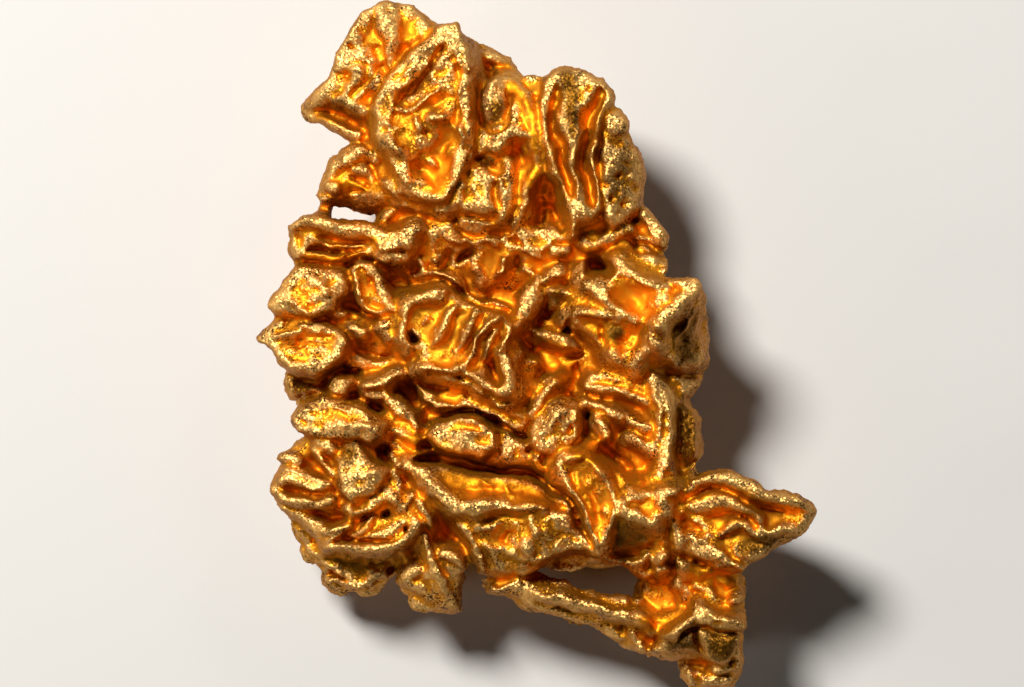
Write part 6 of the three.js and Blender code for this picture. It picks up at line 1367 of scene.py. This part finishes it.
def makeNugget():
    height, cover, satin, dull = makeRelief()
    obj = newObject("nativeGold", *closedRelief(height, cover))
    print("front raised", len(obj.data.vertices))
    back = makeBack()
    onlySelect(obj)
    back.select_set(True)
    bpy.ops.object.join()
    voxel = body["fineVoxel"]
    applyModifier(obj, "REMESH", mode="VOXEL", voxel_size=voxel)
    print("front and back joined", len(obj.data.vertices))
    applyModifier(obj, "SMOOTH", factor=body["smooth"][0], iterations=body["smooth"][1])
    displace(obj, "lean", body["lean"])
    lumpySides(obj)
    return obj, satin, dull

def keepOuterShell(obj):   # small sealed pores and chips are dropped
    a, b = readEdges(obj)
    label = np.arange(len(obj.data.vertices))
    while True:
        before = label.copy()
        low = np.minimum(label[a], label[b])
        np.minimum.at(label, a, low)
        np.minimum.at(label, b, low)
        label = label[label]
        if (label == before).all():
            break
    names, counts = np.unique(label, return_counts=True)
    keep = label == names[counts.argmax()]
    mesh = bmesh.new()
    mesh.from_mesh(obj.data)
    bmesh.ops.delete(mesh, geom=[vertex for vertex in mesh.verts if not keep[vertex.index]], context="VERTS")
    mesh.to_mesh(obj.data)
    mesh.free()

def restOnPlane(obj):   # worn flats at z = 0
    points = readPoints(obj)
    points[:, 2] = np.maximum(points[:, 2], 0.0)
    writePoints(obj, points)

def markRelief(obj):   # 0 in hollows, 1 on crests: how far each point stands out of its smoothed surroundings; it places the painted highlight and painted shade in the colour, and the frost
    a, b = readEdges(obj)
    points, normals = readPoints(obj), readNormals(obj)
    count = len(points)
    degree = np.bincount(np.concatenate([a, b]), minlength=count).astype(float)[:, None]
    smooth = points.copy()
    for _ in range(body["reliefPasses"]):
        total = np.zeros_like(smooth)
        for axis in range(3):
            total[:, axis] = np.bincount(a, smooth[b, axis], count) + np.bincount(b, smooth[a, axis], count)
        smooth = total / np.maximum(degree, 1)
    stand = ((points - smooth) * normals).sum(1)
    writeMark(obj, "relief", np.clip(0.5 + stand / body["reliefHeight"], 0, 1))

def markFinish(obj, name, field):   # carried from the grid to the front of the mesh
    points = readPoints(obj)
    cells = ((points[:, :2] - body["gridLow"]) / body["gridStep"]).round().astype(int)
    column = np.clip(cells[:, 0], 0, field.shape[1] - 1)
    row = np.clip(cells[:, 1], 0, field.shape[0] - 1)
    level, fade = body["frontLevel"]
    writeMark(obj, name, field[row, column] * faded(points[:, 2] - level, fade))

def markSteep(obj):   # 1 on upright walls, 0 on crests and level faces: where the walls get painted shade
    start, fade = body["steepLean"]
    writeMark(obj, "steep", faded(start - np.abs(readNormals(obj)[:, 2]), fade))

# ---- native gold

def linearColour(code):
    channels = [int(code[i:i + 2], 16) / 255 for i in (1, 3, 5)]
    return [c / 12.92 if c <= 0.04045 else ((c + 0.055) / 1.055) ** 2.4 for c in channels] + [1.0]

def addNode(tree, kind, settings=None, inputs=None):
    node = tree.nodes.new(kind)
    for name, value in (settings or {}).items():
        setattr(node, name, value)
    for name, value in (inputs or {}).items():
        if isinstance(value, bpy.types.NodeSocket):
            tree.links.new(value, node.inputs[name])
        else:
            node.inputs[name].default_value = value
    return node

gold = {
    # pale gold on crests: a painted highlight
    "crestPaintedHighlightColour": "#FFC974",
    "bodyColour": "#FDAC2C",
    # deeper orange in hollows: painted shade
    "hollowPaintedShadeColour": "#EEA024",
    # deeper orange on satin slopes and hollows: painted shade
    "satinColour": "#F29B1C",
    # brown on level and broken faces: painted shade
    "dullColour": "#865818",
    # deeper gold on upright walls: painted shade
    "wallPaintedShadeColour": "#B87818",
    "grainPaintedShadeColour": "#5A3410",    # painted shade on grains that face away from the light
    "hollowRelief": 0.15,
    "crestRelief": 0.95,
    "frost": (0.45, 0.85),       # relief and blotch together where the frost begins and is full
    "satinFrost": 0.30,          # shares of it that satin and dull faces keep
    "dullFrost": 0.8,
    "satinRoughness": 0.60,
    "frostRoughness": 0.56,
    "grain": 0.075,              # mm across one crystal grain, drawn coarse enough to show
    "grainLean": 0.9,            # how far the crystal faces lean out of the surface
    "darkGrains": (0.62, 0.66, 1.0),
    "darkPatches": (0.50, 0.62, 0.9),
    "blotch": 0.9,               # mm, the patches in which the frost and its grains with painted shade thicken
    "ripple": 0.30,              # mm between the soft waves under the frost, and their height
    "rippleHeight": 0.03,
    "rippleStrength": 0.4,
    "noiseDetail": 3.0,
}

def goldColourWithPaintedLight(tree, marks):   # painted highlight on crests; painted shade deeper in hollows, on satin and dull faces and on walls
    colour = addNode(tree, "ShaderNodeValToRGB", None, {"Fac": marks["relief"]})
    ramp = colour.color_ramp
    for step, relief, code in ((0, "hollowRelief", "hollowPaintedShadeColour"), (1, "crestRelief", "crestPaintedHighlightColour")):
        ramp.elements[step].position = gold[relief]
        ramp.elements[step].color = linearColour(gold[code])
    ramp.elements.new(0.5).color = linearColour(gold["bodyColour"])
    mixed = colour.outputs["Color"]
    for mark in ("satin", "dull", "steep"):
        other = linearColour(gold["wallPaintedShadeColour" if mark == "steep" else mark + "Colour"])
        mix = addNode(tree, "ShaderNodeMix", {"data_type": "RGBA"}, {0: marks[mark], 6: mixed, 7: other})
        mixed = mix.outputs[2]
    return mixed

def frostShare(tree, marks, blotch):   # tiny crystal faces cover the crests and thin out in patches
    crest = addNode(tree, "ShaderNodeMath", {"operation": "ADD"}, {0: marks["relief"], 1: blotch})
    start, full = gold["frost"]
    limits = {"Value": crest.outputs[0], "From Min": start, "From Max": full}
    frost = addNode(tree, "ShaderNodeMapRange", None, limits)
    for mark in ("satin", "dull"):
        limits = {"Value": marks[mark], "To Min": 1.0, "To Max": gold[mark + "Frost"]}
        kept = addNode(tree, "ShaderNodeMapRange", None, limits)
        product = {0: frost.outputs[0], 1: kept.outputs[0]}
        frost = addNode(tree, "ShaderNodeMath", {"operation": "MULTIPLY"}, product)
    return frost.outputs[0]

def paintedGrainShadeShare(tree, frost, grains, blotch):   # painted shade on some grains, more of them in some patches, that face away from the light
    share = frost
    for colour, key in ((grains, "darkGrains"), (blotch, "darkPatches")):
        start, full, most = gold[key]
        parts = addNode(tree, "ShaderNodeSeparateColor", None, {"Color": colour})
        limits = {"Value": parts.outputs["Green"], "From Min": start, "From Max": full, "To Max": most}
        picked = addNode(tree, "ShaderNodeMapRange", None, limits)
        both = addNode(tree, "ShaderNodeMath", {"operation": "MULTIPLY"}, {0: share, 1: picked.outputs[0]})
        share = both.outputs[0]
    return share

def leaningGrains(tree, frost, grains, waves):   # each grain's face leans its own way out of the rippled skin
    height = gold["rippleHeight"] * millimetre
    bump = addNode(tree, "ShaderNodeBump", None, {
        "Height": waves, "Strength": gold["rippleStrength"], "Distance": height})
    lean = addNode(tree, "ShaderNodeVectorMath", {"operation": "SUBTRACT"}, {0: grains, 1: (0.5, 0.5, 0.5)})
    share = addNode(tree, "ShaderNodeMath", {"operation": "MULTIPLY"}, {0: frost, 1: gold["grainLean"]})
    leaned = addNode(tree, "ShaderNodeVectorMath", {"operation": "SCALE"},
                     {0: lean.outputs[0], "Scale": share.outputs[0]})
    turned = addNode(tree, "ShaderNodeVectorMath", {"operation": "ADD"},
                     {0: bump.outputs[0], 1: leaned.outputs[0]})
    normal = addNode(tree, "ShaderNodeVectorMath", {"operation": "NORMALIZE"}, {0: turned.outputs[0]})
    return normal.outputs[0]

def nativeGold():   # native gold, grown in place: glittering frost on crests, soft satin in the hollows; the colour carries a painted highlight on crests and painted amber shade in the hollows
    material = bpy.data.materials.new("nativeGold")
    material.use_nodes = True
    tree = material.node_tree
    tree.nodes.clear()
    place = addNode(tree, "ShaderNodeTexCoord").outputs["Object"]
    marks = {name: addNode(tree, "ShaderNodeAttribute", {"attribute_name": name}).outputs["Fac"]
             for name in ("relief", "satin", "dull", "steep")}
    scales = {key: 1 / (gold[key] * millimetre) for key in ("blotch", "ripple", "grain")}
    blotch, waves = [addNode(tree, "ShaderNodeTexNoise", None,
                             {"Vector": place, "Scale": scales[key], "Detail": gold["noiseDetail"]})
                     for key in ("blotch", "ripple")]
    cells = addNode(tree, "ShaderNodeTexVoronoi", {"feature": "F1"}, {
        "Vector": place, "Scale": scales["grain"]})
    grains = cells.outputs["Color"]
    frost = frostShare(tree, marks, blotch.outputs["Fac"])
    rough = addNode(tree, "ShaderNodeMapRange", None, {
        "Value": frost, "To Min": gold["satinRoughness"], "To Max": gold["frostRoughness"]})
    # painted shade on grains facing away from the light
    dark = paintedGrainShadeShare(tree, frost, grains, blotch.outputs["Color"])
    colour = addNode(tree, "ShaderNodeMix", {"data_type": "RGBA"}, {
        0: dark, 6: goldColourWithPaintedLight(tree, marks), 7: linearColour(gold["grainPaintedShadeColour"])})
    surface = addNode(tree, "ShaderNodeBsdfPrincipled", None, {
        "Base Color": colour.outputs[2],
        "Metallic": 1.0,
        "Roughness": rough.outputs[0],
        "Normal": leaningGrains(tree, frost, grains, waves.outputs["Fac"]),
    })
    addNode(tree, "ShaderNodeOutputMaterial", None, {"Surface": surface.outputs[0]})
    return material

def makePiece():
    obj, satin, dull = makeNugget()
    onlySelect(obj)
    applyModifier(obj, "TRIANGULATE")
    share = body["triangles"] / len(obj.data.polygons)
    if share < 1:
        applyModifier(obj, "DECIMATE", ratio=share)
    keepOuterShell(obj)
    restOnPlane(obj)
    markRelief(obj)
    markFinish(obj, "satin", satin)
    markFinish(obj, "dull", dull)
    markSteep(obj)
    points = readPoints(obj)
    low, high = points.min(0), points.max(0)
    cadLow, cadHigh = [np.array(corner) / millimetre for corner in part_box("nugget")]
    points[:, :2] += ((cadLow + cadHigh - low - high) / 2)[:2]
    writePoints(obj, points * millimetre)
    onlySelect(obj)
    bpy.ops.object.shade_smooth()
    obj.data.materials.append(nativeGold())
    print("nugget", len(obj.data.polygons), "size", (high - low).round(2))
    return obj

nugget = makePiece()
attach(nugget, "root")
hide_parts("nugget")

# ---- floor, light and camera

stage = {
    "floorSize": 2.4,               # metres
    "floorLevel": -0.02,            # mm, just under the flats
    "floorColour": "#CFCBC4",
    "floorRoughness": 0.85,
    "skyStrength": 0.007,
    "frameCentre": (-1.04, 0.17),   # mm
    "frameWidth": 44.5,             # mm across, at the height of the upper ribs
    "frameHeight": 7.0,
    "cameraDistance": 250.0,
    "sensor": 36.0,
    "clipStart": 0.01,              # metres
}
lamps = [   # azimuth from +X, elevation, distance mm, size mm, watts
    (130.0, 54.0, 260.0, 70.0, 1.08),
    (60.0, 40.0, 280.0, 60.0, 0.05),
    (190.0, 30.0, 280.0, 70.0, 0.07),
]

def makeFloor():
    bpy.ops.object.select_all(action="DESELECT")
    level = stage["floorLevel"] * millimetre
    bpy.ops.mesh.primitive_plane_add(size=stage["floorSize"], location=(0, 0, level))
    floor = bpy.context.object
    floor.name = "floor"
    paper = bpy.data.materials.new("palePaper")   # matt card
    paper.use_nodes = True
    shader = paper.node_tree.nodes["Principled BSDF"]
    shader.inputs["Base Color"].default_value = linearColour(stage["floorColour"])
    shader.inputs["Roughness"].default_value = stage["floorRoughness"]
    floor.data.materials.append(paper)

def makeLight():
    middle = Vector((0, 0, stage["frameHeight"] * millimetre))
    for azimuth, elevation, distance, size, watts in lamps:
        a, e = math.radians(azimuth), math.radians(elevation)
        way = Vector((math.cos(a) * math.cos(e), math.sin(a) * math.cos(e), math.sin(e)))
        bpy.ops.object.light_add(type="AREA", location=middle + way * distance * millimetre)
        lamp = bpy.context.object
        lamp.data.shape = "DISK"
        lamp.data.size = size * millimetre
        lamp.data.energy = watts
        lamp.rotation_euler = (-way).to_track_quat("-Z", "Y").to_euler()
    world = bpy.data.worlds.new("studio")
    bpy.context.scene.world = world
    world.use_nodes = True
    sky = world.node_tree.nodes["Background"]
    sky.inputs["Color"].default_value = (1, 1, 1, 1)
    sky.inputs["Strength"].default_value = stage["skyStrength"]

def makeCamera():
    x, y = stage["frameCentre"]
    z = stage["frameHeight"] + stage["cameraDistance"]
    place = Vector((x, y, z)) * millimetre
    bpy.ops.object.camera_add(location=place, rotation=(0, 0, 0))
    camera = bpy.context.object
    camera.data.sensor_width = stage["sensor"]
    camera.data.lens = stage["sensor"] * stage["cameraDistance"] / stage["frameWidth"]
    camera.data.clip_start = stage["clipStart"]
    bpy.context.scene.camera = camera
    bpy.context.scene.view_settings.view_transform = "Standard"

makeFloor()
makeLight()
makeCamera()
print("stage set")
